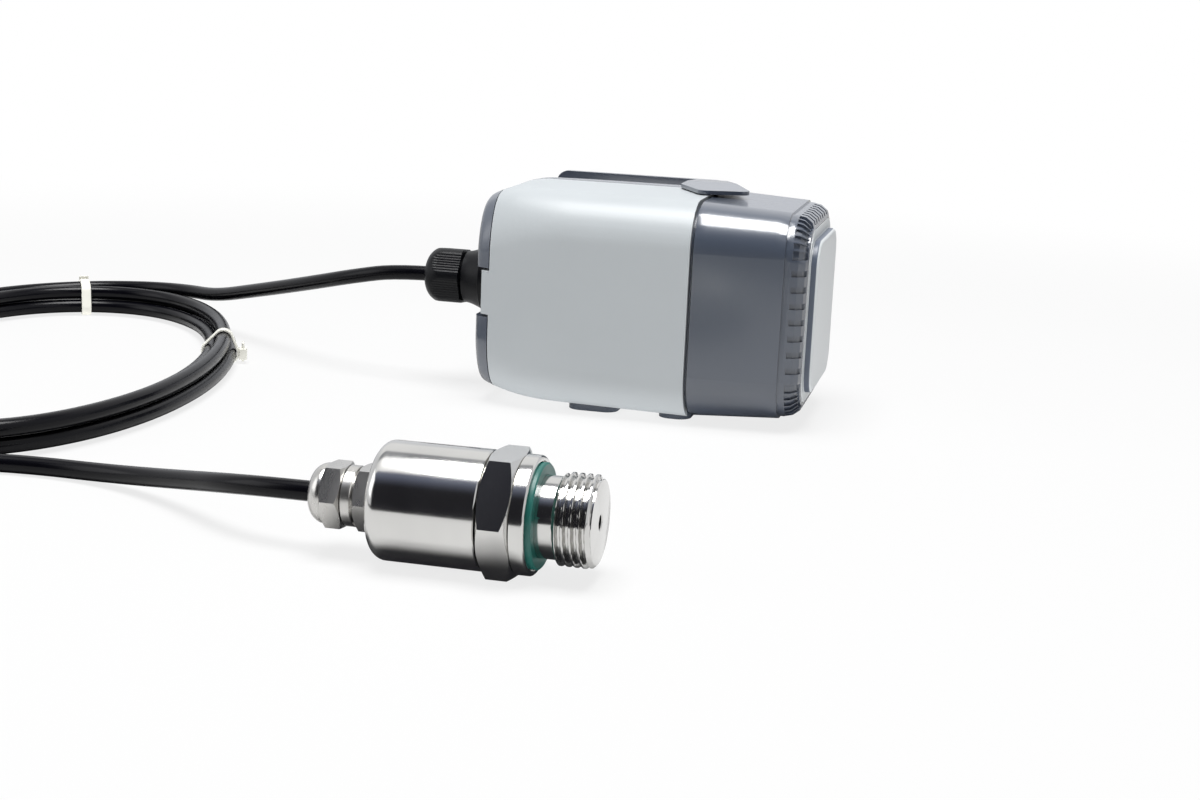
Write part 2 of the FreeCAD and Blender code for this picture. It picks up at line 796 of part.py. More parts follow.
def dome(tip, base, radius, mouth):
    """The half outline of a domed end, from its base at this radius to its mouth at the tip."""
    turns = [math.radians(90 * k / dome_steps) for k in range(dome_steps + 1)]
    return [(base + (tip - base) * math.sin(a), mouth + (radius - mouth) * math.cos(a)) for a in turns]


def case_gland_nut():
    """The domed nylon clamping nut with its grip grooves."""
    tip = -gland_reach
    back = -gland_hex_end - nut_gap
    seal_end = -gland_barrel_end - 2 * gap
    outline = [(back, gland_nut_radius)]
    outline += dome(tip, tip + gland_nut_dome, gland_nut_radius, gland_mouth_radius + nut_lip)
    outline += [(tip, gland_mouth_radius), (tip + 2, gland_mouth_radius), (seal_end, gland_seal_radius - 1.2),
                (seal_end, gland_barrel_radius + slip), (back, gland_barrel_radius + slip)]
    nut = turned(outline)
    for k in range(gland_grips):
        groove = box(tip + gland_nut_dome, back - 1.2, gland_nut_radius - gland_grip_depth, gland_nut_radius + 1,
                     -gland_grip_width / 2, gland_grip_width / 2)
        groove.rotate(V(0, 0, 0), X_AXIS, 360 * k / gland_grips)
        nut = nut.cut(groove)
    return on_gland_axis(nut)


def chamfered_hexagon(flats, front, back, flat_part):
    """A hexagon whose ends are turned down at 30 degrees, so that its faces have curved ends."""
    corner = flats / 2 / math.cos(math.radians(30))
    ring = flats / 2 - flat_part
    run = (corner - ring) * math.tan(math.radians(30))
    cone = turned([(back, 0), (back, ring), (back + run, corner + 0.01), (front - run, corner + 0.01),
                   (front, ring), (front, 0)])
    return hexagon(flats, back, front).common(cone)


def process_connection():
    """The stainless fitting: threaded spigot, neck, collar with the seal's recess, hexagon and capsule pocket."""
    back = hex_end + spigot_length
    outline = [(0, 0), (0, thread_radius - thread_chamfer), (-thread_chamfer, thread_radius),
               (-thread_length + thread_chamfer, thread_radius), (-thread_length, neck_radius),
               (-collar_start - seal_sink, neck_radius), (-collar_start - seal_sink, seal_radius + gap),
               (-collar_start, seal_radius + gap), (-collar_start, collar_radius - 0.6),
               (-collar_start - 0.6, collar_radius), (-hex_start - 1, collar_radius), (-hex_start - 1, 0)]
    body = turned(outline)
    body = body.fuse(chamfered_hexagon(hex_flats, -hex_start, -hex_end, hex_chamfer_flat))
    body = body.fuse(rod(spigot_radius, -back, -hex_end))
    body = body.cut(rod(capsule_bore_radius, -back - 1, -capsule_start + gap))
    return body.cut(rod(inlet_radius, -back, 1))


def seal_ring():
    back = -collar_start - seal_sink
    front = back + seal_thickness
    bore = neck_radius + ring_slip
    return turned([(back, bore), (back, seal_radius - seal_chamfer), (back + seal_chamfer, seal_radius),
                   (front - seal_chamfer, seal_radius), (front, seal_radius - seal_chamfer), (front, bore)])


def body_tube():
    """The polished tube, with a rounded end round the gland."""
    outline = [(-hex_end, 0), (-hex_end, tube_radius)]
    outline += dome(-tube_end, tube_round - tube_end, tube_radius, tube_radius - tube_round)
    tube = turned(outline + [(-tube_end, 0)])
    tube = tube.cut(rod(tube_bore_radius, -tube_end + tube_end_wall, 0))
    return tube.cut(rod(probe_gland_thread_radius + thread_slip, -tube_end - 1, 0))


def sensing_capsule():
    """The steel pressure capsule with its seal groove and its glass header."""
    front = -capsule_start
    body = rod(capsule_radius, front - capsule_length, front)
    g0 = front - capsule_groove_start
    groove = rod(capsule_radius + 1, g0 - capsule_groove_width, g0)
    groove = groove.cut(rod(capsule_radius - 2 * capsule_ring_section, g0 - 5, g0 + 5))
    header = rod(header_radius, front - capsule_length - header_height, front - capsule_length)
    return body.cut(groove).fuse(header)


def capsule_o_ring():
    """The O ring, with a six sided section."""
    middle = capsule_bore_radius - ring_slip - capsule_ring_section
    at = -capsule_start - capsule_groove_start - capsule_groove_width / 2
    turns = [math.radians(30 + 60 * k) for k in range(6)]
    return turned([(at + capsule_ring_section * math.cos(a), middle + capsule_ring_section * math.sin(a))
                   for a in turns])


def retaining_ring():
    back = -capsule_start - capsule_length
    ring = rod(capsule_bore_radius - ring_slip, back - retainer_length, back)
    ring = ring.cut(rod(retainer_bore_radius, back - retainer_length - 1, back + 1))
    slot = retainer_slot / 2
    return ring.cut(box(back - retainer_length - 1, back - retainer_length + retainer_slot_depth, -50, 50, -slot, slot))


def probe_board():
    x0 = -tube_end + tube_end_wall + probe_gland_thread_inside + probe_board_clearance
    x1 = -hex_end - spigot_length - slip
    w = probe_board_half_width
    return box(x0, x1, -w, w, -board_thickness / 2, board_thickness / 2)


def probe_gland_washer_ring():
    ring = rod(probe_gland_washer_radius, -tube_end - probe_gland_washer, -tube_end)
    return ring.cut(rod(probe_gland_thread_radius + thread_slip, -tube_end - 5, -tube_end + 5))


def probe_gland_body():
    """The gland's steel body: hexagonal base, dark groove, round collar and the barrel under the nut."""
    face = -tube_end - probe_gland_washer
    base_end = -tube_end - probe_gland_base
    body = chamfered_hexagon(probe_gland_flats, face, base_end, 0.2)
    body = body.fuse(rod(probe_gland_collar_radius - 1, base_end - probe_gland_groove, base_end))
    body = body.fuse(rod(probe_gland_collar_radius, -tube_end - probe_gland_collar_end,
                         base_end - probe_gland_groove))
    body = body.fuse(rod(probe_gland_barrel_radius, -tube_end - probe_gland_barrel_end,
                         -tube_end - probe_gland_collar_end))
    body = body.fuse(rod(probe_gland_thread_radius, face, -tube_end + tube_end_wall + probe_gland_thread_inside))
    body = body.cut(rod(cable_radius + gap, -tube_end - 20, 0))
    seat_end = -tube_end - probe_gland_barrel_end
    return body.cut(rod(probe_gland_seal_radius + thread_slip, seat_end - 1, seat_end + probe_gland_seal_length))


def probe_gland_seal():
    end = -tube_end - probe_gland_barrel_end
    seal = rod(probe_gland_seal_radius, end, end + probe_gland_seal_length)
    return seal.cut(rod(cable_radius + seal_slip, end - 1, end + probe_gland_seal_length + 1))


def probe_gland_nut():
    """The domed steel nut: a short hexagon that runs into a round dome."""
    front = -tube_end - probe_gland_collar_end - nut_gap
    hex_back = front - probe_gland_hex_length
    tip = -tube_end - probe_gland_end
    body = chamfered_hexagon(probe_gland_flats, front, hex_back, 0.1)
    round_radius = probe_gland_flats / 2
    outline = [(hex_back + 1, 0), (hex_back + 1, round_radius)]
    outline += dome(tip, hex_back, round_radius, probe_gland_mouth_radius + nut_lip)
    body = body.fuse(turned(outline + [(tip, 0)]))
    bore_end = -tube_end - probe_gland_barrel_end - gap
    body = body.cut(rod(probe_gland_barrel_radius + slip, bore_end, 0))
    return body.cut(rod(probe_gland_mouth_radius, tip - 1, 0))


def rounded_route(points):
    """Straight runs joined by arcs as large as their runs allow. Returns the wire and its length."""
    edges = []
    last = points[0]
    radii = []
    for k in range(1, len(points) - 1):
        before = points[k] - points[k - 1]
        after = points[k + 1] - points[k]
        turn = before.getAngle(after)
        cut = 0.45 * min(before.Length, after.Length)
        radii.append(cut / math.tan(turn / 2))
        into = V(before).normalize()
        out = V(after).normalize()
        start = points[k] - into * cut
        end = points[k] + out * cut
        inward = (out - into).normalize()
        middle = points[k] + inward * (radii[-1] / math.cos(turn / 2) - radii[-1])
        edges.append(Part.LineSegment(last, start).toShape())
        edges.append(Part.Arc(start, middle, end).toShape())
        last = end
    edges.append(Part.LineSegment(last, points[-1]).toShape())
    wire = Part.Wire(edges)
    print("least radius %.1f of %s" % (min(radii), [round(r) for r in radii]))
    return wire


def cable_along(wire):
    """The cable's tube along a route, with an eight sided section whose corners are at the cable's radius."""
    start = wire.Edges[0]
    along = start.tangentAt(start.FirstParameter)
    side = along.cross(V(0, 0, 1)).normalize()
    up = side.cross(along)
    turns = [2 * math.pi * (k + 0.5) / cable_sides for k in range(cable_sides + 1)]
    middle = start.valueAt(start.FirstParameter)
    ring = Part.makePolygon([middle + (side * math.cos(a) + up * math.sin(a)) * cable_radius for a in turns])
    tube = wire.makePipeShell([ring], True, False)
    print("tube volume %.1f, section times length %.1f, length %.1f" %
          (tube.Volume, Part.Face(ring).Area * wire.Length, wire.Length))
    return tube


def coil_state(step):
    """Place and direction of the coil's centre line after this many quarter turns from the case's end."""
    half = coil_quarter_turns / 2
    angle = math.radians(coil_first_angle + 90 * step)
    long_way = V(math.cos(math.radians(coil_tilt)), math.sin(math.radians(coil_tilt)), 0)
    short_way = V(-long_way.y, long_way.x, 0)
    tight = math.radians(coil_fan_tight_angle)
    fan = 1 + coil_fan * (1 - math.cos(angle - tight)) / 2
    inward = coil_pitch / 4 * (half - abs(step - half)) * fan
    along = short_way * (coil_short_half * math.cos(angle)) - long_way * (coil_long_half * math.sin(angle))
    outward = long_way * (coil_short_half * math.cos(angle)) + short_way * (coil_long_half * math.sin(angle))
    low = tie_thickness + tie_clearance + cable_radius
    climb = min(1.0, max(-1.0, step - half))
    height = low + coil_layer * (1 - climb) / 2
    if step == 0:
        height += coil_entry_rise
    place = coil_middle + long_way * (coil_long_half * math.cos(angle)) + short_way * (
        coil_short_half * math.sin(angle))
    place = place + outward.normalize() * (coil_pitch / 2 - inward)
    place.z = height
    slope = 0.0
    if abs(step - half) < 0.5:
        slope = -coil_layer / (2 * math.radians(90) * along.Length)
    if step == 0:
        slope = -0.14
    along = along.normalize()
    along.z = slope
    return place, along.normalize()


def biarc(p0, t0, p1, t1):
    """Two arcs that join p0 and p1 along the directions t0 and t1."""
    chord = p1 - p0
    both = t0 + t1
    a = 2 * (1 - t0.dot(t1))
    b = 2 * chord.dot(both)
    c = -chord.dot(chord)
    reach = (-b + math.sqrt(b * b - 4 * a * c)) / (2 * a) if abs(a) > 1e-9 else -c / b
    q0 = p0 + t0 * reach
    q1 = p1 - t1 * reach
    joint = (q0 + q1) * 0.5
    edges = []
    for start, corner, end in ((p0, q0, joint), (joint, q1, p1)):
        into = (corner - start).normalize()
        out = (end - corner).normalize()
        turn = into.getAngle(out)
        radius = (corner - start).Length / math.tan(turn / 2)
        middle = corner + (out - into).normalize() * (radius / math.cos(turn / 2) - radius)
        edges.append(Part.Arc(start, middle, end).toShape())
    return edges


def coil_wire():
    knots = [coil_state(k) for k in range(coil_quarter_turns + 1)]
    edges = []
    for (p0, t0), (p1, t1) in zip(knots, knots[1:]):
        edges += biarc(p0, t0, p1, t1)
    straight = 2 * cable_radius
    p0, t0 = knots[0]
    p1, t1 = knots[-1]
    first = Part.LineSegment(p0 - t0 * straight, p0).toShape()
    last = Part.LineSegment(p1, p1 + t1 * straight).toShape()
    return Part.Wire([first] + edges + [last])


def least_gap(wire):
    """The least distance between stretches of the coil that are at least half a turn apart."""
    points = wire.discretize(Distance=3.0)
    apart = int(len(points) / coil_quarter_turns * 2)
    least = 1e9
    for i in range(0, len(points)):
        for j in range(i + apart, len(points)):
            least = min(least, (points[i] - points[j]).Length)
    return least - 2 * cable_radius


def coil_ties(wire):
    """Two nylon ties, each a band round the turns with its head outside."""
    ties = []
    for tie_angle in tie_angles:
        angle = math.radians(tie_angle)
        long_way = V(math.cos(math.radians(coil_tilt)), math.sin(math.radians(coil_tilt)), 0)
        short_way = V(-long_way.y, long_way.x, 0)
        outward = (long_way * (coil_short_half * math.cos(angle)) +
                   short_way * (coil_long_half * math.sin(angle))).normalize()
        middle = coil_middle + long_way * (coil_long_half * math.cos(angle)) + short_way * (
            coil_short_half * math.sin(angle))
        along = V(-outward.y, outward.x, 0)
        strands = [p for p in wire.discretize(Distance=0.5)
                   if abs((p - middle).dot(along)) < tie_width / 2 + 0.3 and (p - middle).dot(outward) > -40]
        reach = cable_radius + tie_clearance
        out = [(p - middle).dot(outward) for p in strands]
        y0 = min(out) - reach
        y1 = max(out) + reach
        z1 = max(p.z for p in strands) + reach
        t = tie_thickness
        band = box(-tie_width / 2, tie_width / 2, y0 - t, y1 + t, 0, z1 + t)
        band = band.makeFillet(3.0, [e for e in band.Edges if e.BoundBox.XLength > tie_width - 0.1])
        hole = box(-tie_width / 2, tie_width / 2, y0, y1, t, z1)
        hole = hole.makeFillet(3.0 - t, [e for e in hole.Edges if e.BoundBox.XLength > tie_width - 0.1])
        head = box(-tie_head[0] / 2, tie_head[0] / 2, y1 + t / 2, y1 + t / 2 + tie_head[2],
                   z1 / 2 - tie_head[1] / 2, z1 / 2 + tie_head[1] / 2)
        head = head.makeChamfer(0.6, head.Edges)
        tie = band.cut(hole).fuse(head)
        turn = math.degrees(math.atan2(outward.y, outward.x)) - 90
        tie.rotate(V(0, 0, 0), V(0, 0, 1), turn)
        tie.translate(V(middle.x, middle.y, 0))
        ties.append(tie)
    return Part.makeCompound(ties)


def case_cable_points(coil_start, coil_direction):
    """The cable's route from inside the case's gland to the coil, chosen by hand."""
    tip = case_origin.x - gland_reach
    y = case_origin.y
    z = case_origin.z + gland_rise
    return [V(tip + cable_entry, y, z), V(tip - 9.5, y, z), V(-90.0, 84.9, 32.4), V(-106.0, 93.4, 28.2),
            V(-122.0, 104.4, 24.0), V(-138.5, 116.4, 19.6), coil_start - coil_direction * 11, coil_start]


def probe_cable_points(coil_end, coil_direction):
    """The cable's route from inside the probe's gland to the coil, chosen by hand."""
    tip = probe_origin.x - tube_end - probe_gland_end
    y = probe_origin.y
    low = cable_radius + 0.05
    return [V(tip + cable_entry, y, probe_z), V(tip - 7.5, y, probe_z), V(-51.0, -100.0, 12.0),
            V(-67.5, -87.8, 8.0), V(-84.5, -77.6, 4.6), V(-101.0, -72.0, low + 0.3), V(-118.0, -70.8, low),
            V(-135.0, -73.2, low), V(-152.0, -77.6, low), V(-168.0, -77.0, low), V(-182.0, -70.6, low + 0.2),
            coil_end + coil_direction * 10, coil_end]


os.makedirs("parts", exist_ok=True)

case_pieces = {
    "inner_housing": inner_housing,
    "near_side_cover": near_side_cover,
    "far_side_cover": far_side_cover,
    "end_cap": end_cap,
    "end_plate": end_plate,
    "cap_gasket": cap_gasket,
    "cap_screws": cap_screws,
    "mounting_bracket": bracket,
    "battery": battery,
    "battery_cradle": battery_cradle,
    "main_board": main_board,
    "terminal_block": terminal_block,
    "radio_module": radio_module,
    "antenna": antenna,
    "usb_socket": usb_socket,
    "status_led": status_led,
    "button_switch": button_switch,
    "power_button": power_button,
    "case_gland_body": case_gland_body,
    "case_gland_washer": case_gland_washer,
    "case_gland_locknut": case_gland_locknut,
    "case_gland_seal": case_gland_seal,
    "case_gland_nut": case_gland_nut,
}
probe_pieces = {
    "process_connection": process_connection,
    "seal_ring": seal_ring,
    "body_tube": body_tube,
    "sensing_capsule": sensing_capsule,
    "capsule_o_ring": capsule_o_ring,
    "retaining_ring": retaining_ring,
    "probe_board": probe_board,
    "probe_gland_washer": probe_gland_washer_ring,
    "probe_gland_body": probe_gland_body,
    "probe_gland_seal": probe_gland_seal,
    "probe_gland_nut": probe_gland_nut,
}
for origin, pieces in ((case_origin, case_pieces), (probe_origin, probe_pieces)):
    for name, make in pieces.items():
        piece = make()
        piece.translate(origin)
        save(name, piece)

coil = coil_wire()
coil_start = coil.Edges[0].valueAt(coil.Edges[0].FirstParameter)
coil_start_way = coil_state(0)[1]
coil_end_way = coil_state(coil_quarter_turns)[1]
coil_end = coil_state(coil_quarter_turns)[0] + coil_end_way * (2 * cable_radius)
print("least gap of the coil to itself %.2f" % least_gap(coil))
save("cable_coil", cable_along(coil))
save("coil_ties", coil_ties(coil))
save("cable_case_run", cable_along(rounded_route(case_cable_points(coil_start, coil_start_way))))
save("cable_probe_run", cable_along(rounded_route(probe_cable_points(coil_end, coil_end_way))))
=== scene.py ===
# %% [markdown]
# # A wireless pressure sensor for pipes
# This lesson dresses a sensor that comes in two parts: a grey plastic case with a radio and a battery in
# it, and a polished steel probe that screws into a pipe. A black cable joins them, wound into one large
# oval coil. The rigid parts arrive as a finished frame at their real size. Blender adds the ridges of the
# pipe thread, the smooth turned steel, a fuller end on the case, the cable as one soft line, and the finish
# of every surface.

# %% Tools and the frame
import math

import bmesh
import bpy
from mathutils import Matrix, Vector


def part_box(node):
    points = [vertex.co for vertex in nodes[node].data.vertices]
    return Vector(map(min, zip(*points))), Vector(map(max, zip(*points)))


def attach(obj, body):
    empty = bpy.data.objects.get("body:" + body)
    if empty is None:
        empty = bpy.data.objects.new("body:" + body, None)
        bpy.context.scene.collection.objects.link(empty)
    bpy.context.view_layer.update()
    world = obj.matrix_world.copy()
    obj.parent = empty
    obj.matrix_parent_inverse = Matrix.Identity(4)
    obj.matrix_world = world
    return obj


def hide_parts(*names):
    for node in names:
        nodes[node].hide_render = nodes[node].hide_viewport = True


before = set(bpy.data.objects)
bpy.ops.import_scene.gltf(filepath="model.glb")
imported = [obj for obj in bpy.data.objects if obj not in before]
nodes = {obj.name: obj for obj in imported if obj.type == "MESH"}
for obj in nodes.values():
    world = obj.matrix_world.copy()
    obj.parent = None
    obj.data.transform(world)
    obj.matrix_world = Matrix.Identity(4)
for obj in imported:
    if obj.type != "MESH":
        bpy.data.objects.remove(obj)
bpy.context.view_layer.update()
MM = 0.001
print("nodes in the frame:", len(nodes))


# %% [markdown]
# The places of the rigid pieces come from the frame. The case and the probe lie side by side along X, and
# two points are enough for all the turned pieces: the middle of the case's gland at its mouth, and the
# middle of the thread's end face.

# %% Places that the other cells use
def middle_of(node):
    """The middle of a node's box."""
    low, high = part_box(node)
    return (low + high) / 2


def add_object(name, data):
    """A new object in the scene."""
    made = bpy.data.objects.new(name, data)
    bpy.context.scene.collection.objects.link(made)
    return made


case_mouth = middle_of("case_gland_nut")
case_mouth.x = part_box("case_gland_nut")[0].x
thread_face = middle_of("process_connection")
thread_face.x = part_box("process_connection")[1].x
print("gland mouth", case_mouth, "thread face", thread_face)


# %% [markdown]
# The camera comes first, because all the looks are judged through it. The object was photographed from in
# front and a little above, with a long lens and the camera turned slightly. Three angles and a place say
# the same thing as a matrix, and can be read: how far the view turns from straight ahead, how far it looks
# down, and how far it rolls.

# %% Camera
TURN = 0.224252
DOWN = 0.218155
ROLL = 0.044481
CAMERA_PLACE = Vector((126.886, -496.905, 130.292)) * MM
FOCAL_PIXELS = 1900
PICTURE_WIDTH = 1200
SENSOR_WIDTH = 36

ahead = Vector((-math.sin(TURN) * math.cos(DOWN), math.cos(TURN) * math.cos(DOWN), -math.sin(DOWN)))
level = Vector((math.cos(TURN), math.sin(TURN), 0))
across = level * math.cos(ROLL) + level.cross(ahead) * math.sin(ROLL)
upward = across.cross(ahead)
camera_data = bpy.data.cameras.new("camera")
camera_data.sensor_width = SENSOR_WIDTH
camera_data.lens = FOCAL_PIXELS / PICTURE_WIDTH * SENSOR_WIDTH
camera_data.clip_start = 0.01
camera = add_object("camera", camera_data)
rows = [(across[k], upward[k], -ahead[k], CAMERA_PLACE[k]) for k in range(3)]
camera.matrix_world = Matrix(rows + [(0, 0, 0, 1)])
bpy.context.scene.camera = camera
print("lens", camera_data.lens, "mm")


# %% [markdown]
# ## The cable
# The cable is one length of about 2.2 m, so it is one curve with one round section. It leaves the case's
# gland, comes down to the oval coil, runs three and a half times round it and goes on to the probe. A
# smooth spline that is guided by its points bends like a real jacket does. The free stretches have points
# given one by one, and the coil has a formula: an ellipse, a little blunter at its far end, that spirals in
# on the upper layer and out again on the lower one.

# %% Coil of the cable
CABLE_RADIUS = 2.4 * MM
COIL_MIDDLE = Vector((-181.0, 40.0, 0)) * MM
COIL_LONG_HALF = 117.0 * MM
COIL_SHORT_HALF = 60.5 * MM
COIL_FAR_BLUNT = 8.0 * MM
COIL_TILT = math.radians(106.4)
COIL_FIRST_ANGLE = -45.0
COIL_QUARTER_TURNS = 14
COIL_PITCH = 5.5 * MM
COIL_LAYER = 4.95 * MM
COIL_FAN = 0.6
COIL_TIGHT_ANGLE = math.radians(325.0)
COIL_LOWEST = 3.3 * MM
COIL_ENTRY_RISE = 4.2 * MM
POINTS_PER_QUARTER = 6

long_way = Vector((math.cos(COIL_TILT), math.sin(COIL_TILT), 0))
short_way = Vector((-long_way.y, long_way.x, 0))
point_turn = math.radians(90 / POINTS_PER_QUARTER)
outside = 1 / math.cos(point_turn / 2)


def coil_point(step, spread=outside):
    """The coil's line after this many quarter turns from the case's end.

    The spline runs inside the points that guide it, so they are spread a little outwards.
    """
    half = COIL_QUARTER_TURNS / 2
    angle = math.radians(COIL_FIRST_ANGLE + 90 * step)
    fan = 1 + COIL_FAN * (1 - math.cos(angle - COIL_TIGHT_ANGLE)) / 2
    inward = COIL_PITCH / 4 * (half - abs(step - half)) * fan
    blunt = COIL_FAR_BLUNT * max(0.0, math.cos(angle)) ** 4
    long_part = long_way * (COIL_LONG_HALF * math.cos(angle) - blunt)
    short_part = short_way * (COIL_SHORT_HALF * math.sin(angle))
    outward = long_way * (COIL_SHORT_HALF * math.cos(angle)) + short_way * (COIL_LONG_HALF * math.sin(angle))
    place = COIL_MIDDLE + (long_part + short_part) * spread
    place += outward.normalized() * (COIL_PITCH / 2 - inward)
    climb = min(1.0, max(-1.0, step - half))
    rise = COIL_ENTRY_RISE * max(0.0, 1 - step) ** 2
    place.z = COIL_LOWEST + COIL_LAYER * (1 - climb) / 2 + rise
    return place


coil_steps = COIL_QUARTER_TURNS * POINTS_PER_QUARTER
coil_line = [coil_point(k / POINTS_PER_QUARTER) for k in range(coil_steps + 1)]
print("coil points:", len(coil_line))

# %% [markdown]
# The two free stretches start inside their glands, so that no end shows, and leave them straight. The
# stretch from the case comes down to the coil in a lazy bend. The one from the probe sinks to the floor
# behind it and joins the coil's outside on the lower layer.

# %% Free stretches and the cable itself
ENTRY = 8.0 * MM
CASE_LEAD = 9.5 * MM
PROBE_LEAD = 7.5 * MM
probe_mouth = middle_of("probe_gland_nut")
probe_mouth.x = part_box("probe_gland_nut")[0].x
case_run = [case_mouth + Vector((ENTRY, 0, 0)), case_mouth - Vector((CASE_LEAD, 0, 0))]
case_run += [Vector(p) * MM for p in ((-90.0, 84.9, 31.8), (-106.0, 93.4, 27.4), (-122.0, 104.4, 22.9),
                                      (-138.5, 116.4, 18.4))]
probe_run = [Vector(p) * MM for p in ((-182.0, -70.6, 2.65), (-168.0, -77.0, 2.45), (-152.0, -77.6, 2.45),
                                      (-135.0, -73.2, 2.45), (-118.0, -70.8, 2.45), (-101.0, -72.0, 2.75),
                                      (-84.5, -77.6, 4.6), (-67.5, -87.8, 8.0), (-51.0, -100.0, 12.0))]
probe_run += [probe_mouth - Vector((PROBE_LEAD, 0, 0)), probe_mouth + Vector((ENTRY, 0, 0))]
cable_points = case_run + coil_line + probe_run

cable_curve = bpy.data.curves.new("cable", "CURVE")
cable_curve.dimensions = "3D"
cable_curve.resolution_u = 6
cable_curve.bevel_depth = 1.0
cable_curve.bevel_resolution = 6
cable_curve.use_fill_caps = True
spline = cable_curve.splines.new("NURBS")
spline.points.add(len(cable_points) - 1)
for point, place in zip(spline.points, cable_points):
    point.co = (*place, 1)
    point.radius = CABLE_RADIUS
spline.order_u = 3
spline.use_endpoint_u = True
cable = add_object("cable", cable_curve)
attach(cable, "sensor")
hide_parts("cable_case_run", "cable_coil", "cable_probe_run")
print("cable points:", len(cable_points))


# %% [markdown]
# ## Sums with sockets
# A material is a sum of many small steps. Written as nodes they take a line each, so this small class holds
# a socket and lets it be added, subtracted and multiplied like a number. Every sum adds the Math node that
# does it.

# %% Sockets that can be added and multiplied
class Value:
    """An output socket that takes part in sums."""

    def __init__(self, finish, socket):
        self.finish = finish
        self.socket = socket

    def sum(self, operation, *others):
        return self.finish.node("Math", {"operation": operation}, dict(enumerate(others)))

    def __add__(self, other):
        return self.sum("ADD", self, other)

    def __radd__(self, other):
        return self.sum("ADD", other, self)

    def __sub__(self, other):
        return self.sum("SUBTRACT", self, other)

    def __rsub__(self, other):
        return self.sum("SUBTRACT", other, self)

    def __mul__(self, other):
        return self.sum("MULTIPLY", self, other)

    def __rmul__(self, other):
        return self.sum("MULTIPLY", other, self)


class Finish:
    """One material or world, with the nodes that make it."""

    def __init__(self, tree):
        self.tree = tree

    def join(self, socket, value):
        if isinstance(value, Value):
            self.tree.links.new(value.socket, socket)
        else:
            socket.default_value = value

    def node(self, kind, settings=None, values=None, out=0):
        """Adds a node: its settings first, then what goes into its sockets, by name or by number."""
        made = self.tree.nodes.new("ShaderNode" + kind)
        for name, setting in (settings or {}).items():
            setattr(made, name, setting)
        for name, value in (values or {}).items():
            self.join(made.inputs[name], value)
        return Value(self, made.outputs[out])

    def parts(self, vector):
        """The X, Y and Z of a vector."""
        split = self.tree.nodes.new("ShaderNodeSeparateXYZ")
        self.join(split.inputs[0], vector)
        return [Value(self, output) for output in split.outputs]

    def rays(self, *kinds):
        """For each kind of ray, 1 when the surface is seen by one, and else 0."""
        path = self.tree.nodes.new("ShaderNodeLightPath")
        return [Value(self, path.outputs[f"Is {kind} Ray"]) for kind in kinds]

    def mixed(self, share, first, second):
        """Blends two colours."""
        return self.node("Mix", {"data_type": "RGBA"}, {0: share, 6: first, 7: second}, 2)

    def ranged(self, value, low, high):
        """A smooth step from 0 to 1 while value goes from low to high."""
        return self.node("MapRange", {"interpolation_type": "SMOOTHSTEP"}, {0: value, 1: low, 2: high})


def rgb(red, green, blue):
    """A colour as seen on a screen, 0 to 255, as the renderer's linear values."""
    levels = [c / 255 for c in (red, green, blue)]
    return tuple(c / 12.92 if c <= 0.04045 else ((c + 0.055) / 1.055) ** 2.4 for c in levels)


def new_finish(name, colour, roughness, **constants):
    """A material with one Principled shader, and the numbers that are the same all over it."""
    material = bpy.data.materials.new(name)
    material.use_nodes = True
    finish = Finish(material.node_tree)
    shader = material.node_tree.nodes["Principled BSDF"]
    shader.inputs["Base Color"].default_value = (*colour, 1)
    shader.inputs["Roughness"].default_value = roughness
    for socket, value in constants.items():
        shader.inputs[socket.replace("_", " ")].default_value = value
    finish.shader = shader
    finish.material = material
    finish.place = finish.node("TexCoord", out=3)
    return finish


def noise(finish, scale, detail, stretch=None):
    """Even noise from 0 to 1 on the surface. The scale counts its spots in one metre."""
    place = finish.place
    if stretch:
        place = finish.node("VectorMath", {"operation": "MULTIPLY"}, {0: place, 1: stretch})
    return finish.node("TexNoise", None, {"Vector": place, "Scale": scale, "Detail": detail})


def set_bump(finish, height, depth):
    """Turns a height from 0 to 1 into a bump of this depth in metres."""
    bump = finish.node("Bump", None, {"Strength": 1.0, "Distance": depth, "Height": height})
    finish.join(finish.shader.inputs["Normal"], bump)


# %% [markdown]
# ## Moulded plastic
# The case is injection moulded with a fine spark-eroded grain, which is why it looks satin. The grain is
# far smaller than a pixel, so a very shallow bump of fine noise does it, with a slower noise that lets the
# gloss drift a little as it does on handled plastic. The slate pieces have a smoother skin over the grain,
# which a coat stands for: it gives them one clear highlight and a pale sheen where they are seen at a
# slant.

# %% Plastic finishes
CLOUD_SCALE = 45.0
GRAIN_SCALE = 2600.0
GRAIN_DEPTH = 0.012 * MM


def plastic(name, colour, roughness, grain=1.0, drift=0.05, **constants):
    """A moulded plastic: its tone and its gloss drift a little, over a fine grain."""
    finish = new_finish(name, colour, roughness, **constants)
    cloud = noise(finish, CLOUD_SCALE, 3.0)
    speck = noise(finish, GRAIN_SCALE, 1.0)
    tone = finish.mixed(cloud, (*(c * 0.97 for c in colour), 1), (*(c * 1.03 for c in colour), 1))
    finish.join(finish.shader.inputs["Base Color"], tone)
    finish.join(finish.shader.inputs["Roughness"], roughness - drift / 2 + cloud * drift)
    set_bump(finish, speck, GRAIN_DEPTH * grain)
    return finish.material


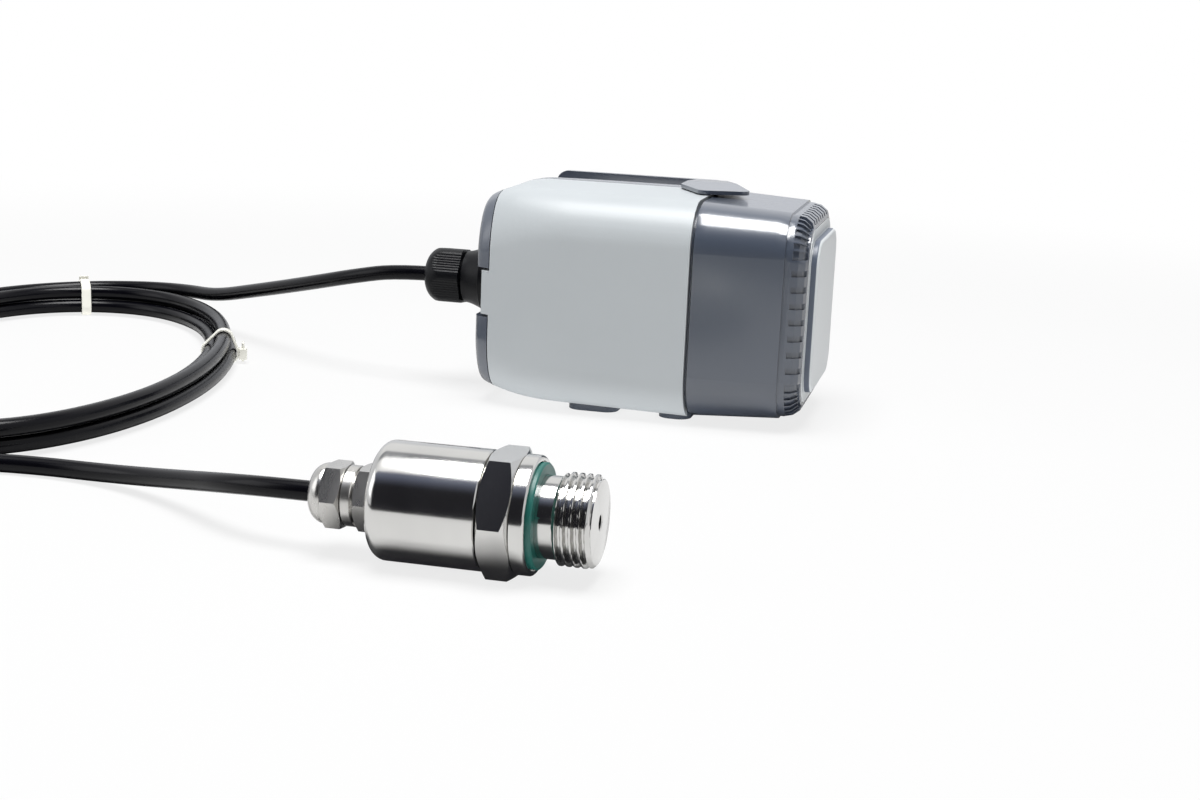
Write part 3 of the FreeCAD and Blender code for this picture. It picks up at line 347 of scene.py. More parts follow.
cover_grey = plastic("cover_grey", rgb(172, 177, 180), 0.42)
housing_slate = plastic("housing_slate", rgb(66, 74, 88), 0.38, 0.6, IOR=1.5,
                        Coat_Weight=1.0, Coat_Roughness=0.17, Coat_IOR=1.7)
gland_nylon = plastic("gland_nylon", rgb(7, 8, 12), 0.4, 0.8, IOR=1.3)
tie_nylon = plastic("tie_nylon", rgb(222, 221, 212), 0.4)
cradle_plastic = plastic("cradle_plastic", rgb(190, 190, 186), 0.5)
switch_plastic = plastic("switch_plastic", rgb(38, 38, 40), 0.45)
terminal_plastic = plastic("terminal_plastic", rgb(54, 140, 84), 0.45)
cell_wrap = plastic("cell_wrap", rgb(88, 140, 100), 0.25, 0.2)
circuit_board = plastic("circuit_board", rgb(28, 96, 58), 0.35, 0.3)
led_lens = plastic("led_lens", rgb(236, 236, 228), 0.15, 0.1)
print("plastics made:", len([m for m in bpy.data.materials if m.use_nodes]))

# %% [markdown]
# The end plate is pale, and its raised panel is one piece with it. Round the panel the finish paints shade:
# where the surface looks sideways and stands above the rim it is dark, for the shadow at the panel's foot.

# %% End plate's finish with painted shade round its panel
PANEL_RISE = 2.2 * MM
SHADE_BAND_BLUR = 0.1 * MM
FACING_FROM, FACING_TO = 0.55, 0.4
plate_colour = rgb(200, 204, 206)
# Painted shade: the dark colour of the panel's sides, which stands for the shadow at the panel's foot.
painted_shade_colour = rgb(84, 92, 106)
plate = new_finish("plate_grey", plate_colour, 0.36)
place_x = plate.parts(plate.place)[0]
facing_x = plate.parts(plate.node("TexCoord", out=1))[0]
panel_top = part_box("end_plate")[1].x
# Painted shade: dark where the surface stands above the rim and looks sideways.
painted_shade_band = plate.ranged(place_x, panel_top - PANEL_RISE - SHADE_BAND_BLUR, panel_top - PANEL_RISE)
painted_shade_band = painted_shade_band * plate.ranged(facing_x, FACING_FROM, FACING_TO)
plate.join(plate.shader.inputs["Base Color"], plate.mixed(painted_shade_band, (*plate_colour, 1), (*painted_shade_colour, 1)))
plate.join(plate.shader.inputs["Roughness"], 0.34 + noise(plate, CLOUD_SCALE, 3.0) * 0.05)
set_bump(plate, noise(plate, GRAIN_SCALE, 1.0), 0.01 * MM)
plate_grey = plate.material


# %% [markdown]
# ## Rubber and the cable's jacket
# The jacket is black with a hint of blue and a clean gloss, from being drawn through a die, so its bump is
# almost nothing. A low index of refraction keeps its reflections dim, as on soft plastic. The seal behind
# the thread is a dark green rubber with little gloss.

# %% Rubber finishes
RUBBER_CLOUD_SCALE = 160.0
RUBBER_GRAIN_SCALE = 1500.0
RUBBER_DRIFT = 0.12


def rubber(name, colour, roughness, bump_depth, **constants):
    """A rubber or a soft jacket: its gloss drifts, over a fine grain."""
    finish = new_finish(name, colour, roughness, **constants)
    cloud = noise(finish, RUBBER_CLOUD_SCALE, 3.0)
    finish.join(finish.shader.inputs["Roughness"], roughness - RUBBER_DRIFT / 2 + cloud * RUBBER_DRIFT)
    set_bump(finish, noise(finish, RUBBER_GRAIN_SCALE, 2.0), bump_depth)
    return finish.material


cable_jacket = rubber("cable_jacket", rgb(6, 6, 11), 0.22, 0.0007 * MM, IOR=1.27)
gasket_rubber = rubber("gasket_rubber", rgb(30, 30, 32), 0.6, 0.03 * MM)
seal_green = rubber("seal_green", rgb(22, 92, 84), 0.4, 0.02 * MM)
cable.data.materials.append(cable_jacket)


# %% [markdown]
# ## Polished steel
# Turned stainless steel mirrors the room sharply round its axis and blurs it along it, because the tool
# leaves rings far finer than a pixel. The finish is a metal with a low roughness, faint rings across X as a
# bump, and patches where the polish is a little duller.

# %% Steel finishes
STEEL_TONE = (0.66, 0.655, 0.64)
WORN_TONE = (0.6, 0.59, 0.57)
PATCH_STRETCH = (1.0, 0.45, 0.45)
RING_STRETCH = (5200.0, 60.0, 60.0)
RING_DEPTH = 0.0022 * MM


def steel(name, colour, roughness, rings, patches=0.1):
    """A turned steel with this much of its rings and of its duller patches."""
    finish = new_finish(name, colour, roughness, Metallic=1.0)
    cloud = noise(finish, 110.0, 5.0, PATCH_STRETCH)
    tone = finish.mixed(cloud, (*(c * 0.9 for c in colour), 1), (*(c * 1.06 for c in colour), 1))
    finish.join(finish.shader.inputs["Base Color"], tone)
    ring = noise(finish, 1.0, 2.0, RING_STRETCH)
    finish.join(finish.shader.inputs["Roughness"], roughness + cloud * patches)
    set_bump(finish, ring, RING_DEPTH * rings)
    return finish.material


steel_polished = steel("steel_polished", STEEL_TONE, 0.08, 1.4)
steel_satin = steel("steel_satin", STEEL_TONE, 0.3, 2.0)
steel_bright = steel("steel_bright", WORN_TONE, 0.12, 3.0, 0.3)


# %% [markdown]
# ## Turned pieces
# Steel that mirrors shows every facet, so the turned pieces are made again with many fine rings. One
# function makes all of them: it takes stations along X, each with a radius or with a rule that gives one
# for every angle. A plain radius is a cylinder, a rule with six flats is a hexagon, and a rule that winds
# with the angle is a thread.

# %% Rings into a mesh
ROUND_STEPS = 180
SHARP_ANGLE = math.radians(28)


def hexagon_radius(angle, flats):
    """The radius of a hexagon with its corners at every 60 degrees from Y."""
    return flats / 2 / math.cos((angle % math.radians(60)) - math.radians(30))


def turned(name, stations, axis_place, body, material, steps=ROUND_STEPS):
    """A closed ring of stations: how far back and what radius, each a number or a rule of the angle."""
    mesh = bmesh.new()
    rings = []
    for station in stations:
        ring = []
        for k in range(steps):
            angle = math.tau * k / steps
            back, radius = (rule(angle) if callable(rule) else rule for rule in station)
            place = Vector((-back, radius * math.cos(angle), radius * math.sin(angle)))
            ring.append(mesh.verts.new(axis_place + place))
        rings.append(ring)
    rings.append(rings[0])
    for ring, following in zip(rings, rings[1:]):
        for k in range(steps):
            after = (k + 1) % steps
            mesh.faces.new((ring[k], ring[after], following[after], following[k]))
    bmesh.ops.recalc_face_normals(mesh, faces=mesh.faces)
    data = bpy.data.meshes.new(name)
    mesh.to_mesh(data)
    mesh.free()
    data.polygons.foreach_set("use_smooth", [True] * len(data.polygons))
    data.set_sharp_from_angle(angle=SHARP_ANGLE)
    data.materials.append(material)
    made = add_object(name, data)
    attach(made, body)
    print(name, "faces:", len(data.polygons))
    return made


def chamfered_hexagon(flats, start, end, flat_part):
    """A hexagon whose ends are turned down at 30 degrees, which gives its faces their curved ends."""
    ring = flats / 2 - flat_part

    def outline(angle):
        return hexagon_radius(angle, flats)

    def depth(angle):
        return (outline(angle) - ring) * math.tan(math.radians(30))

    return [(start, ring), (lambda angle: start + depth(angle), outline),
            (lambda angle: end - depth(angle), outline), (end, ring)]


# %% [markdown]
# The pressure fitting is one turned piece: the pipe thread, a plain neck, the collar with the groove for
# the seal, and the hexagon for the wrench. The thread is a real helix. Its ridge winds once round for every
# 1.8 mm, and its height at any point follows from how far along and how far round that point is.

# %% Pressure fitting with its thread
THREAD_RADIUS = 10.4775 * MM
THREAD_PITCH = 1.814 * MM
THREAD_DEPTH = 1.16 * MM
THREAD_LENGTH = 9.0 * MM
THREAD_CHAMFER = 1.0 * MM
THREAD_STEPS = 110
RIDGE_STEEPNESS = 1.35
RUN_OUT_SLOPE = 1.2
THREAD_FIRST = 0.05 * MM
FACE_EDGE = 0.15 * MM
INLET_RADIUS = 1.7 * MM
INLET_EDGE = 0.25 * MM
NECK_RADIUS = 9.3 * MM
COLLAR_START = 14.0 * MM
COLLAR_RADIUS = 13.5 * MM
COLLAR_ROUND = ((0.0, 0.6), (0.1, 0.35), (0.35, 0.1), (0.6, 0.0))
SEAL_RADIUS = 12.0 * MM
SEAL_GAP = 0.3 * MM
SEAL_SINK = 1.2 * MM
HEX_START = 17.3 * MM
HEX_END = 25.2 * MM
HEX_FLATS = 27.0 * MM
HEX_EDGE = 0.55 * MM
SOCKET_RADIUS = 9.6 * MM
SOCKET_FLOOR = 3.1 * MM


def thread_rule(back):
    """The thread's radius at this distance from the end face, for every angle."""
    def rule(angle):
        turn = (back / THREAD_PITCH + angle / math.tau) % 1.0
        ridge = 0.5 + 0.5 * math.cos(math.tau * turn)
        ridge = min(1.0, max(0.0, (ridge - 0.5) * RIDGE_STEEPNESS + 0.5))
        radius = THREAD_RADIUS - THREAD_DEPTH * (1 - ridge)
        lead_in = THREAD_RADIUS - THREAD_CHAMFER + back
        run_out = NECK_RADIUS + max(0.0, THREAD_LENGTH - back) * RUN_OUT_SLOPE
        return min(radius, lead_in, max(NECK_RADIUS, run_out))
    return rule


groove = SEAL_RADIUS + SEAL_GAP
thread_run = THREAD_LENGTH - THREAD_FIRST
thread_backs = [THREAD_FIRST + thread_run * k / THREAD_STEPS for k in range(THREAD_STEPS + 1)]
stations = [(0.0, INLET_RADIUS + INLET_EDGE), (0.0, THREAD_RADIUS - THREAD_CHAMFER - FACE_EDGE)]
stations += [(back, thread_rule(back)) for back in thread_backs]
stations += [(COLLAR_START + SEAL_SINK, NECK_RADIUS), (COLLAR_START + SEAL_SINK, groove),
             (COLLAR_START, groove)]
stations += [(COLLAR_START + back * MM, COLLAR_RADIUS - drop * MM) for back, drop in COLLAR_ROUND]
stations += [(HEX_START, COLLAR_RADIUS), *chamfered_hexagon(HEX_FLATS, HEX_START, HEX_END, HEX_EDGE)]
stations += [(HEX_END, SOCKET_RADIUS), (HEX_START + SOCKET_FLOOR, SOCKET_RADIUS),
             (HEX_START + SOCKET_FLOOR, INLET_RADIUS), (INLET_EDGE, INLET_RADIUS)]
pressure_fitting = turned("pressure_fitting", stations, thread_face, "sensor", steel_polished)
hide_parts("process_connection")

# %% [markdown]
# The tube behind the hexagon is plain, with a large rounding at its cable end. A thin line of shadow shows
# where it meets the hexagon, so it gets a small bevel there.

# %% Body tube
TUBE_RADIUS = 13.7 * MM
TUBE_END = 51.0 * MM
TUBE_ROUND = 3.0 * MM
TUBE_BORE = 12.4 * MM
TUBE_GAP = 0.02 * MM
TUBE_BEVEL = 0.25 * MM
TUBE_END_WALL = 2.5 * MM
TUBE_HOLE = 4.1 * MM
ROUND_POINTS = 10


def quarter(centre_back, centre_radius, size):
    """Stations of a quarter round from the outside to the far end."""
    turns = [math.radians(90) * k / ROUND_POINTS for k in range(ROUND_POINTS + 1)]
    return [(centre_back + size * math.sin(a), centre_radius + size * math.cos(a)) for a in turns]


tube_start = HEX_END + TUBE_GAP
end_wall = TUBE_END - TUBE_END_WALL
stations = [(tube_start, TUBE_BORE), (tube_start, TUBE_RADIUS - TUBE_BEVEL),
            (tube_start + TUBE_BEVEL, TUBE_RADIUS)]
stations += quarter(TUBE_END - TUBE_ROUND, TUBE_RADIUS - TUBE_ROUND, TUBE_ROUND)
stations += [(TUBE_END, TUBE_HOLE), (end_wall, TUBE_HOLE), (end_wall, TUBE_BORE)]
body_tube = turned("probe_tube", stations, thread_face, "sensor", steel_polished)
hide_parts("body_tube")

# %% [markdown]
# The steel cable gland has two hexagons and a collar: a short six sided base, a round collar, and the domed
# nut with six flats that squeezes the seal on the cable. Its distances count from the end of the tube.

# %% Probe gland
GLAND_FLATS = 14.0 * MM
WASHER_THICKNESS = 0.5 * MM
BASE_END = 4.5 * MM
BASE_EDGE = 0.2 * MM
WAIST_RADIUS = 6.0 * MM
RIM_START, RIM_END = 5.0 * MM, 7.4 * MM
RIM_RADIUS = 7.0 * MM
RIM_EDGE = 0.2 * MM
BARREL_END = 13.5 * MM
BARREL_RADIUS = 5.6 * MM
BARREL_BORE = 4.4 * MM

rim_low = RIM_RADIUS - RIM_EDGE
base_stations = [(BASE_END, WAIST_RADIUS), (RIM_START, WAIST_RADIUS), (RIM_START, rim_low),
                 (RIM_START + RIM_EDGE, RIM_RADIUS), (RIM_END - RIM_EDGE, RIM_RADIUS), (RIM_END, rim_low),
                 (RIM_END, BARREL_RADIUS), (BARREL_END, BARREL_RADIUS), (BARREL_END, BARREL_BORE),
                 (WASHER_THICKNESS, BARREL_BORE)]
stations = chamfered_hexagon(GLAND_FLATS, TUBE_END + WASHER_THICKNESS, TUBE_END + BASE_END, BASE_EDGE)
stations += [(TUBE_END + back, radius) for back, radius in base_stations]
gland_base = turned("probe_gland_base", stations, thread_face, "sensor", steel_bright)
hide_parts("probe_gland_body")

DOME_NUT_START = 7.6 * MM
DOME_NUT_HEX_LENGTH = 4.8 * MM
DOME_NUT_EDGE = 0.1 * MM
DOME_NUT_TIP = 16.0 * MM
DOME_NUT_FLOOR = 13.8 * MM
DOME_NUT_BORE = 5.75 * MM
DOME_POINTS = 12
MOUTH_RADIUS = 2.9 * MM
MOUTH_LAND = 0.6 * MM
MOUTH_EDGE = 0.2 * MM

nut_front = TUBE_END + DOME_NUT_START
nut_hex_end = nut_front + DOME_NUT_HEX_LENGTH
nut_tip = TUBE_END + DOME_NUT_TIP
nut_floor = TUBE_END + DOME_NUT_FLOOR
land_radius = MOUTH_RADIUS + MOUTH_LAND
stations = chamfered_hexagon(GLAND_FLATS, nut_front, nut_hex_end, DOME_NUT_EDGE)
dome_turns = [math.radians(90) * k / DOME_POINTS for k in range(1, DOME_POINTS + 1)]
stations += [(nut_hex_end + (nut_tip - nut_hex_end) * math.sin(a),
              land_radius + (GLAND_FLATS / 2 - land_radius) * math.cos(a)) for a in dome_turns]
stations += [(nut_tip, MOUTH_RADIUS + MOUTH_EDGE), (nut_tip - MOUTH_EDGE, MOUTH_RADIUS),
             (nut_floor, MOUTH_RADIUS), (nut_floor, DOME_NUT_BORE), (nut_front, DOME_NUT_BORE)]
gland_nut = turned("probe_gland_dome_nut", stations, thread_face, "probe_nut", steel_bright)
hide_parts("probe_gland_nut")


# %% [markdown]
# The case's gland is black nylon. Its nut has six flats that run out into a dome, and fine grip lines on
# the flats. Behind it the body flares out to a flange. Taking the smaller of two radii, the hexagon's and
# the dome's, gives the flats their arched ends without any cutting.

# %% Gland of the case
NUT_TIP = 1.0 * MM
NUT_END = 13.6 * MM
NUT_FLATS = 16.9 * MM
NUT_CORNER = 9.15 * MM
NUT_DOME = 6.0 * MM
NUT_LIP = 3.6 * MM
NUT_LIP_EDGE = 0.3 * MM
NUT_BORE = 7.35 * MM
NUT_FLOOR = 4.2 * MM
NUT_DOME_STEPS = 14
NUT_BACK_EDGE = 0.25 * MM
NUT_BACK_DROP = 0.45 * MM
GRIP_LINES = 60
GRIP_STEPS = 360
GRIP_DEPTH = 0.15 * MM
GRIP_RUN_IN = 1.5 * MM
NUT_TURN = math.radians(6)
JACKET_HOLE = 2.9 * MM
FLARE_FIRST_RADIUS, FLARE_LAST_RADIUS = 8.2 * MM, 10.2 * MM
FLARE_FIRST_SHARE = 0.1
FLARE_CURVE = 1.5
FLANGE_RADIUS = 10.7 * MM
FLANGE_START, FLANGE_END = 20.2 * MM, 23.15 * MM
FLANGE_EDGE = 0.2 * MM
FLANGE_STEP, FLANGE_ROUND = 0.05 * MM, 0.3 * MM
FLARE_POINTS = 6
BODY_FRONT = 4.4 * MM
BODY_NECK = 7.2 * MM
BODY_BORE = 5.3 * MM
BODY_GAP = 0.3 * MM
BODY_EDGE = 0.3 * MM
SHANK_RADIUS = 5.95 * MM
SHANK_LENGTH = 12.0 * MM


def nut_rule(deep):
    """The nut's radius this far in from its tip, for every angle."""
    share = min(1.0, deep / NUT_DOME)
    dome = NUT_LIP + (NUT_CORNER - NUT_LIP) * math.sqrt(1 - (1 - share) ** 2)
    grip = GRIP_DEPTH * min(1.0, max(0.0, deep - NUT_DOME / 2) / GRIP_RUN_IN)

    def rule(angle):
        turn = angle + NUT_TURN
        line = 0.5 + 0.5 * math.cos(GRIP_LINES * turn)
        return min(dome, hexagon_radius(turn, NUT_FLATS) - grip * line, NUT_CORNER)
    return rule


dome_turns = [math.radians(90) * k / NUT_DOME_STEPS for k in range(NUT_DOME_STEPS + 1)]
depths = [NUT_DOME * (1 - math.cos(a)) for a in dome_turns]
depths += [NUT_END - NUT_TIP - 2 * NUT_BACK_EDGE, NUT_END - NUT_TIP - NUT_BACK_EDGE]
stations = [(-NUT_TIP - deep, nut_rule(deep)) for deep in depths]
stations += [(-NUT_END, NUT_FLATS / 2 - NUT_BACK_DROP), (-NUT_END, NUT_BORE), (-NUT_FLOOR, NUT_BORE),
             (-NUT_FLOOR, JACKET_HOLE), (-NUT_TIP - NUT_LIP_EDGE, JACKET_HOLE)]
clamping_nut = turned("case_gland_dome_nut", stations, case_mouth, "case_nut", gland_nylon, GRIP_STEPS)
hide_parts("case_gland_nut")

neck_end = NUT_END + BODY_GAP
flare_shares = [k / FLARE_POINTS for k in range(1, FLARE_POINTS + 1)]
shank_end = FLANGE_END + SHANK_LENGTH
flare_run = FLANGE_START - NUT_END
flare_rise = FLARE_LAST_RADIUS - FLARE_FIRST_RADIUS
body_stations = [(BODY_FRONT, BODY_BORE), (BODY_FRONT, BODY_NECK), (neck_end, BODY_NECK),
                 (neck_end, FLARE_FIRST_RADIUS - BODY_EDGE), (neck_end + BODY_EDGE, FLARE_FIRST_RADIUS)]
body_stations += [(NUT_END + flare_run * (FLARE_FIRST_SHARE + (1 - FLARE_FIRST_SHARE) * share),
                   FLARE_FIRST_RADIUS + flare_rise * share ** FLARE_CURVE) for share in flare_shares]
body_stations += [(FLANGE_START + FLANGE_STEP, FLANGE_RADIUS - FLANGE_EDGE),
                  (FLANGE_START + FLANGE_ROUND, FLANGE_RADIUS), (FLANGE_END - FLANGE_EDGE, FLANGE_RADIUS),
                  (FLANGE_END, FLANGE_RADIUS - FLANGE_EDGE), (FLANGE_END, SHANK_RADIUS),
                  (shank_end, SHANK_RADIUS), (shank_end, BODY_BORE)]
stations = [(-back, radius) for back, radius in body_stations]
gland_flare = turned("case_gland_flare", stations, case_mouth, "sensor", gland_nylon)
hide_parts("case_gland_body")


# %% [markdown]
# ## Ties
# Two nylon ties hold the coil. A tie pulled tight takes the outline of the strands inside it: at every
# direction it touches the strand that reaches furthest that way. Its head sits on the outside, and the end
# of its strap is cut off short.

# %% Nylon ties round the turns
TIE_ANGLES = (8.0, 282.0)
TIE_WIDTH = 3.4 * MM
TIE_THICKNESS = 0.8 * MM
TIE_SLACK = 0.1 * MM
TIE_STEPS = 72
TIE_ABOVE_FLOOR = 0.03 * MM
HEAD_SIZE = Vector((4.4, 2.6, 3.8)) * MM
STRAP_SIZE = Vector((TIE_WIDTH, TIE_THICKNESS, 6.4 * MM))
STRAP_RISE = Vector((0, 0, 0.6 * MM))


def strands_at(tie_angle, middle, outward):
    """Where the turns cross the tie's plane: how far out and how high each one lies."""
    first = ((tie_angle - COIL_FIRST_ANGLE) / 90) % 4
    steps = [first + 4 * k for k in range(4) if first + 4 * k <= COIL_QUARTER_TURNS]
    places = [coil_point(step, 1.0) for step in steps]
    return [((place - middle).dot(outward), place.z) for place in places]


def tie_mesh(mesh, tie_angle):
    """Adds one tie: its band, its head and the cut end of its strap."""
    angle = math.radians(tie_angle)
    middle = COIL_MIDDLE + long_way * (COIL_LONG_HALF * math.cos(angle))
    middle += short_way * (COIL_SHORT_HALF * math.sin(angle))
    outward = long_way * (COIL_SHORT_HALF * math.cos(angle)) + short_way * (COIL_LONG_HALF * math.sin(angle))
    outward.normalize()
    along = Vector((-outward.y, outward.x, 0))
    strands = strands_at(tie_angle, middle, outward)
    rings = []
    for k in range(TIE_STEPS):
        turn = math.tau * k / TIE_STEPS
        out, up = math.cos(turn), math.sin(turn)
        reach, height = max(strands, key=lambda strand: strand[0] * out + strand[1] * up)
        ring = []
        for skin, side in ((0, -0.5), (1, -0.5), (1, 0.5), (0, 0.5)):
            r = CABLE_RADIUS + TIE_SLACK + TIE_THICKNESS * skin
            place = middle + outward * (reach + r * out) + along * (TIE_WIDTH * side)
            place.z = max(height + r * up, TIE_ABOVE_FLOOR + TIE_THICKNESS * (1 - skin))
            ring.append(mesh.verts.new(place))
        rings.append(ring)
    for ring, following in zip(rings, rings[1:] + rings[:1]):
        for k in range(4):
            after = (k + 1) % 4
            mesh.faces.new((ring[k], ring[after], following[after], following[k]))
    furthest, height = max(strands)
    head = middle + outward * (furthest + CABLE_RADIUS + TIE_THICKNESS + HEAD_SIZE.y / 2)
    head.z = height
    turn_to = Matrix((along, outward, (0, 0, 1))).transposed().to_4x4()
    for size, place in ((HEAD_SIZE, head), (STRAP_SIZE, head + STRAP_RISE)):
        shape = Matrix.Translation(place) @ turn_to @ Matrix.Diagonal((*size, 1))
        bmesh.ops.create_cube(mesh, size=1.0, matrix=shape)


mesh = bmesh.new()
for tie_angle in TIE_ANGLES:
    tie_mesh(mesh, tie_angle)
bmesh.ops.recalc_face_normals(mesh, faces=mesh.faces)
tie_data = bpy.data.meshes.new("nylon_ties")
mesh.to_mesh(tie_data)
mesh.free()
tie_data.materials.append(tie_nylon)
nylon_ties = add_object("nylon_ties", tie_data)
rounding = nylon_ties.modifiers.new("rounding", "BEVEL")
rounding.width = 0.3 * MM
rounding.segments = 3
rounding.limit_method = "ANGLE"
rounding.harden_normals = True
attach(nylon_ties, "sensor")
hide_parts("coil_ties")


# %% [markdown]
# ## A fuller end on the case
# On the real case the top and the bottom stay level almost as far as the gland's end, and only then round
# off. The frame's case rounds off earlier there, so its three outer pieces are copied, and their upper part
# moves up and their lower part down, most near the gland. One rule moves all three, so they still fit each
# other. The copies are first cut along many planes, because a mesh can only bend where it has points.

# %% Fuller end of the case
CASE_HALF = 33.0 * MM
CASE_PARTING = 68.0 * MM
CASE_TAPER = 1.0 * MM
EARLY_ROUND, EARLY_RADIUS = 30.0 * MM, 75.0 * MM
TOP_ROUND, TOP_RADIUS = 13.0 * MM, 22.0 * MM
LOW_ROUND, LOW_RADIUS = 22.0 * MM, 80.0 * MM
LIFT_FROM, LIFT_TO = 0.55, 0.95
CUT_STEP = 1.5 * MM
CUTS_ALONG, CUTS_UP = 20, 10
WELD_DISTANCE = 0.002 * MM
OUTER_SLOTS = {"inner_housing": "housing_plastic", "near_side_cover": "cover_plastic",
               "far_side_cover": "housing_plastic"}
case_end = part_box("inner_housing")[0].x
case_middle = middle_of("end_plate").z


def fuller(place):
    """How far a point of the case moves up or down: nothing at its middle height, most at top and bottom."""
    deep = place.x - case_end
    if deep >= CASE_PARTING:
        return 0.0
    taper = CASE_TAPER * (1 - deep / CASE_PARTING)
    early = EARLY_RADIUS - math.sqrt(EARLY_RADIUS ** 2 - max(0.0, EARLY_ROUND - deep) ** 2)
    top = taper + early - max(0.0, TOP_ROUND - deep) ** 2 / (2 * TOP_RADIUS)
    low = early - max(0.0, LOW_ROUND - deep) ** 2 / (2 * LOW_RADIUS)
    rise = place.z - case_middle
    share = abs(rise) / (CASE_HALF - taper - early)
    share = min(1.0, max(0.0, (share - LIFT_FROM) / (LIFT_TO - LIFT_FROM)))
    return (top if rise > 0 else -low) * share * share * (3 - 2 * share)


def fuller_copy(node):
    """A copy of one of the case's pieces with the fuller end."""
    mesh = bmesh.new()
    mesh.from_mesh(nodes[node].data)
    bmesh.ops.remove_doubles(mesh, verts=mesh.verts, dist=WELD_DISTANCE)
    cuts = [((case_end + CUT_STEP * k, 0, 0), (1, 0, 0)) for k in range(1, CUTS_ALONG + 1)]
    for side in (1, -1):
        heights = [case_middle + side * (CASE_HALF * LIFT_FROM + CUT_STEP * k) for k in range(CUTS_UP)]
        cuts += [((0, 0, height), (0, 0, 1)) for height in heights]
    for place, facing in cuts:
        everything = [*mesh.verts, *mesh.edges, *mesh.faces]
        bmesh.ops.bisect_plane(mesh, geom=everything, dist=0.001 * MM, plane_co=place, plane_no=facing)
    for vert in mesh.verts:
        vert.co.z += fuller(vert.co)
    data = bpy.data.meshes.new(node + "_full")
    mesh.to_mesh(data)
    mesh.free()
    if "custom_normal" in data.attributes:
        data.attributes.remove(data.attributes["custom_normal"])
    data.polygons.foreach_set("use_smooth", [True] * len(data.polygons))
    data.set_sharp_from_angle(angle=SHARP_ANGLE)
    copy = add_object(node + "_full", data)
    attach(copy, "sensor")
    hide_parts(node)
    return copy


case_pieces = {node: fuller_copy(node) for node, slot in OUTER_SLOTS.items()}
print("faces of the outer pieces:", {node: len(copy.data.polygons) for node, copy in case_pieces.items()})


# %% [markdown]
# ## The frame's own pieces
# The other pieces already have their shape, so they only need a finish. Perfectly sharp edges don't exist
# on moulded parts: a small bevel at every hard edge catches a thin line of light, which is most of what
# makes plastic look moulded. The bevel is a modifier, so the frame's mesh stays as it is.

# %% Finishes and bevels of the frame's pieces
FINISHES = {
    cover_grey: ("near_side_cover",),
    housing_slate: ("inner_housing", "far_side_cover", "end_cap", "mounting_bracket"),
    plate_grey: ("end_plate",),
    gland_nylon: ("case_gland_locknut",),
    gasket_rubber: ("case_gland_washer", "case_gland_seal", "cap_gasket", "capsule_o_ring",
                    "probe_gland_washer", "probe_gland_seal"),
    seal_green: ("seal_ring",),
    steel_satin: ("cap_screws", "radio_module", "usb_socket", "sensing_capsule", "retaining_ring"),
    cell_wrap: ("battery",),
    cradle_plastic: ("battery_cradle",),
    circuit_board: ("main_board", "antenna", "probe_board"),
    terminal_plastic: ("terminal_block",),
    led_lens: ("status_led",),
    switch_plastic: ("button_switch", "power_button"),
}
EDGE_BEVEL = {"near_side_cover": 0.4, "far_side_cover": 0.4, "inner_housing": 0.35, "end_cap": 0.35,
              "mounting_bracket": 0.35, "end_plate": 0.2}
BEVEL_ANGLE = math.radians(32)
for material, names in FINISHES.items():
    for name in names:
        piece = case_pieces.get(name, nodes[name])
        piece.data.materials.clear()
        piece.data.materials.append(material)
for name, size in EDGE_BEVEL.items():
    piece = case_pieces.get(name, nodes[name])
    weld = piece.modifiers.new("weld", "WELD")
    weld.merge_threshold = WELD_DISTANCE
    bevel = piece.modifiers.new("bevel", "BEVEL")
    bevel.width = size * MM
    bevel.segments = 2
    bevel.limit_method = "ANGLE"
    bevel.angle_limit = BEVEL_ANGLE
    bevel.harden_normals = True
print("finished pieces:", sum(len(names) for names in FINISHES.values()))


# %% [markdown]
# ## Studio
# The photograph looks taken on a white table under one large soft light, with a dark room behind the
# camera. Plastic hardly cares, but polished steel shows all of it: a white stripe for the light above, a
# dark band for the room, and the pale table below. The world is white to the camera, and to mirrors it is
# that room, laid out by the angle round the object from the table's front over the top to its back. Other
# rays get a plain soft light at a tenth of the strength, so that the lamp above gives the plastic its shape.

# %% World
DARK_ROOM = rgb(38, 38, 42)
DUSK_BLUE = rgb(112, 118, 138)
SEAM_GREY = rgb(150, 152, 156)
SIDE_WALL = rgb(226, 227, 229)
LOW_BACK = rgb(228, 230, 234)
DARK_FROM, DUSK_FROM, DARK_TO = math.radians(-8), math.radians(40), math.radians(70)
SEAM_FROM, SEAM_TO = math.radians(101), math.radians(121)
LOW_BACK_FROM, LOW_BACK_TO = math.radians(150), math.radians(160)
SIDE_FROM, SIDE_TO = 0.55, 0.8
SOFT_EDGE = math.radians(3)
SOFT_LEVEL = 0.1
WHITE = (1, 1, 1, 1)
SOFT_BELOW = (0.8, 0.8, 0.8, 1)

world = bpy.data.worlds.new("studio")
world.use_nodes = True
bpy.context.scene.world = world
room = Finish(world.node_tree)
background = world.node_tree.nodes["Background"]
sideways, ahead_part, height = room.parts(room.node("TexCoord", out=0))
turn_up = height.sum("ARCTAN2", height, ahead_part * -1)


def between(angle, start, end):
    """1 inside the two angles and 0 outside them, with soft edges."""
    rise = room.ranged(angle, start - SOFT_EDGE, start + SOFT_EDGE)
    fall = room.ranged(angle, end - SOFT_EDGE, end + SOFT_EDGE)
    return rise * (1 - fall)


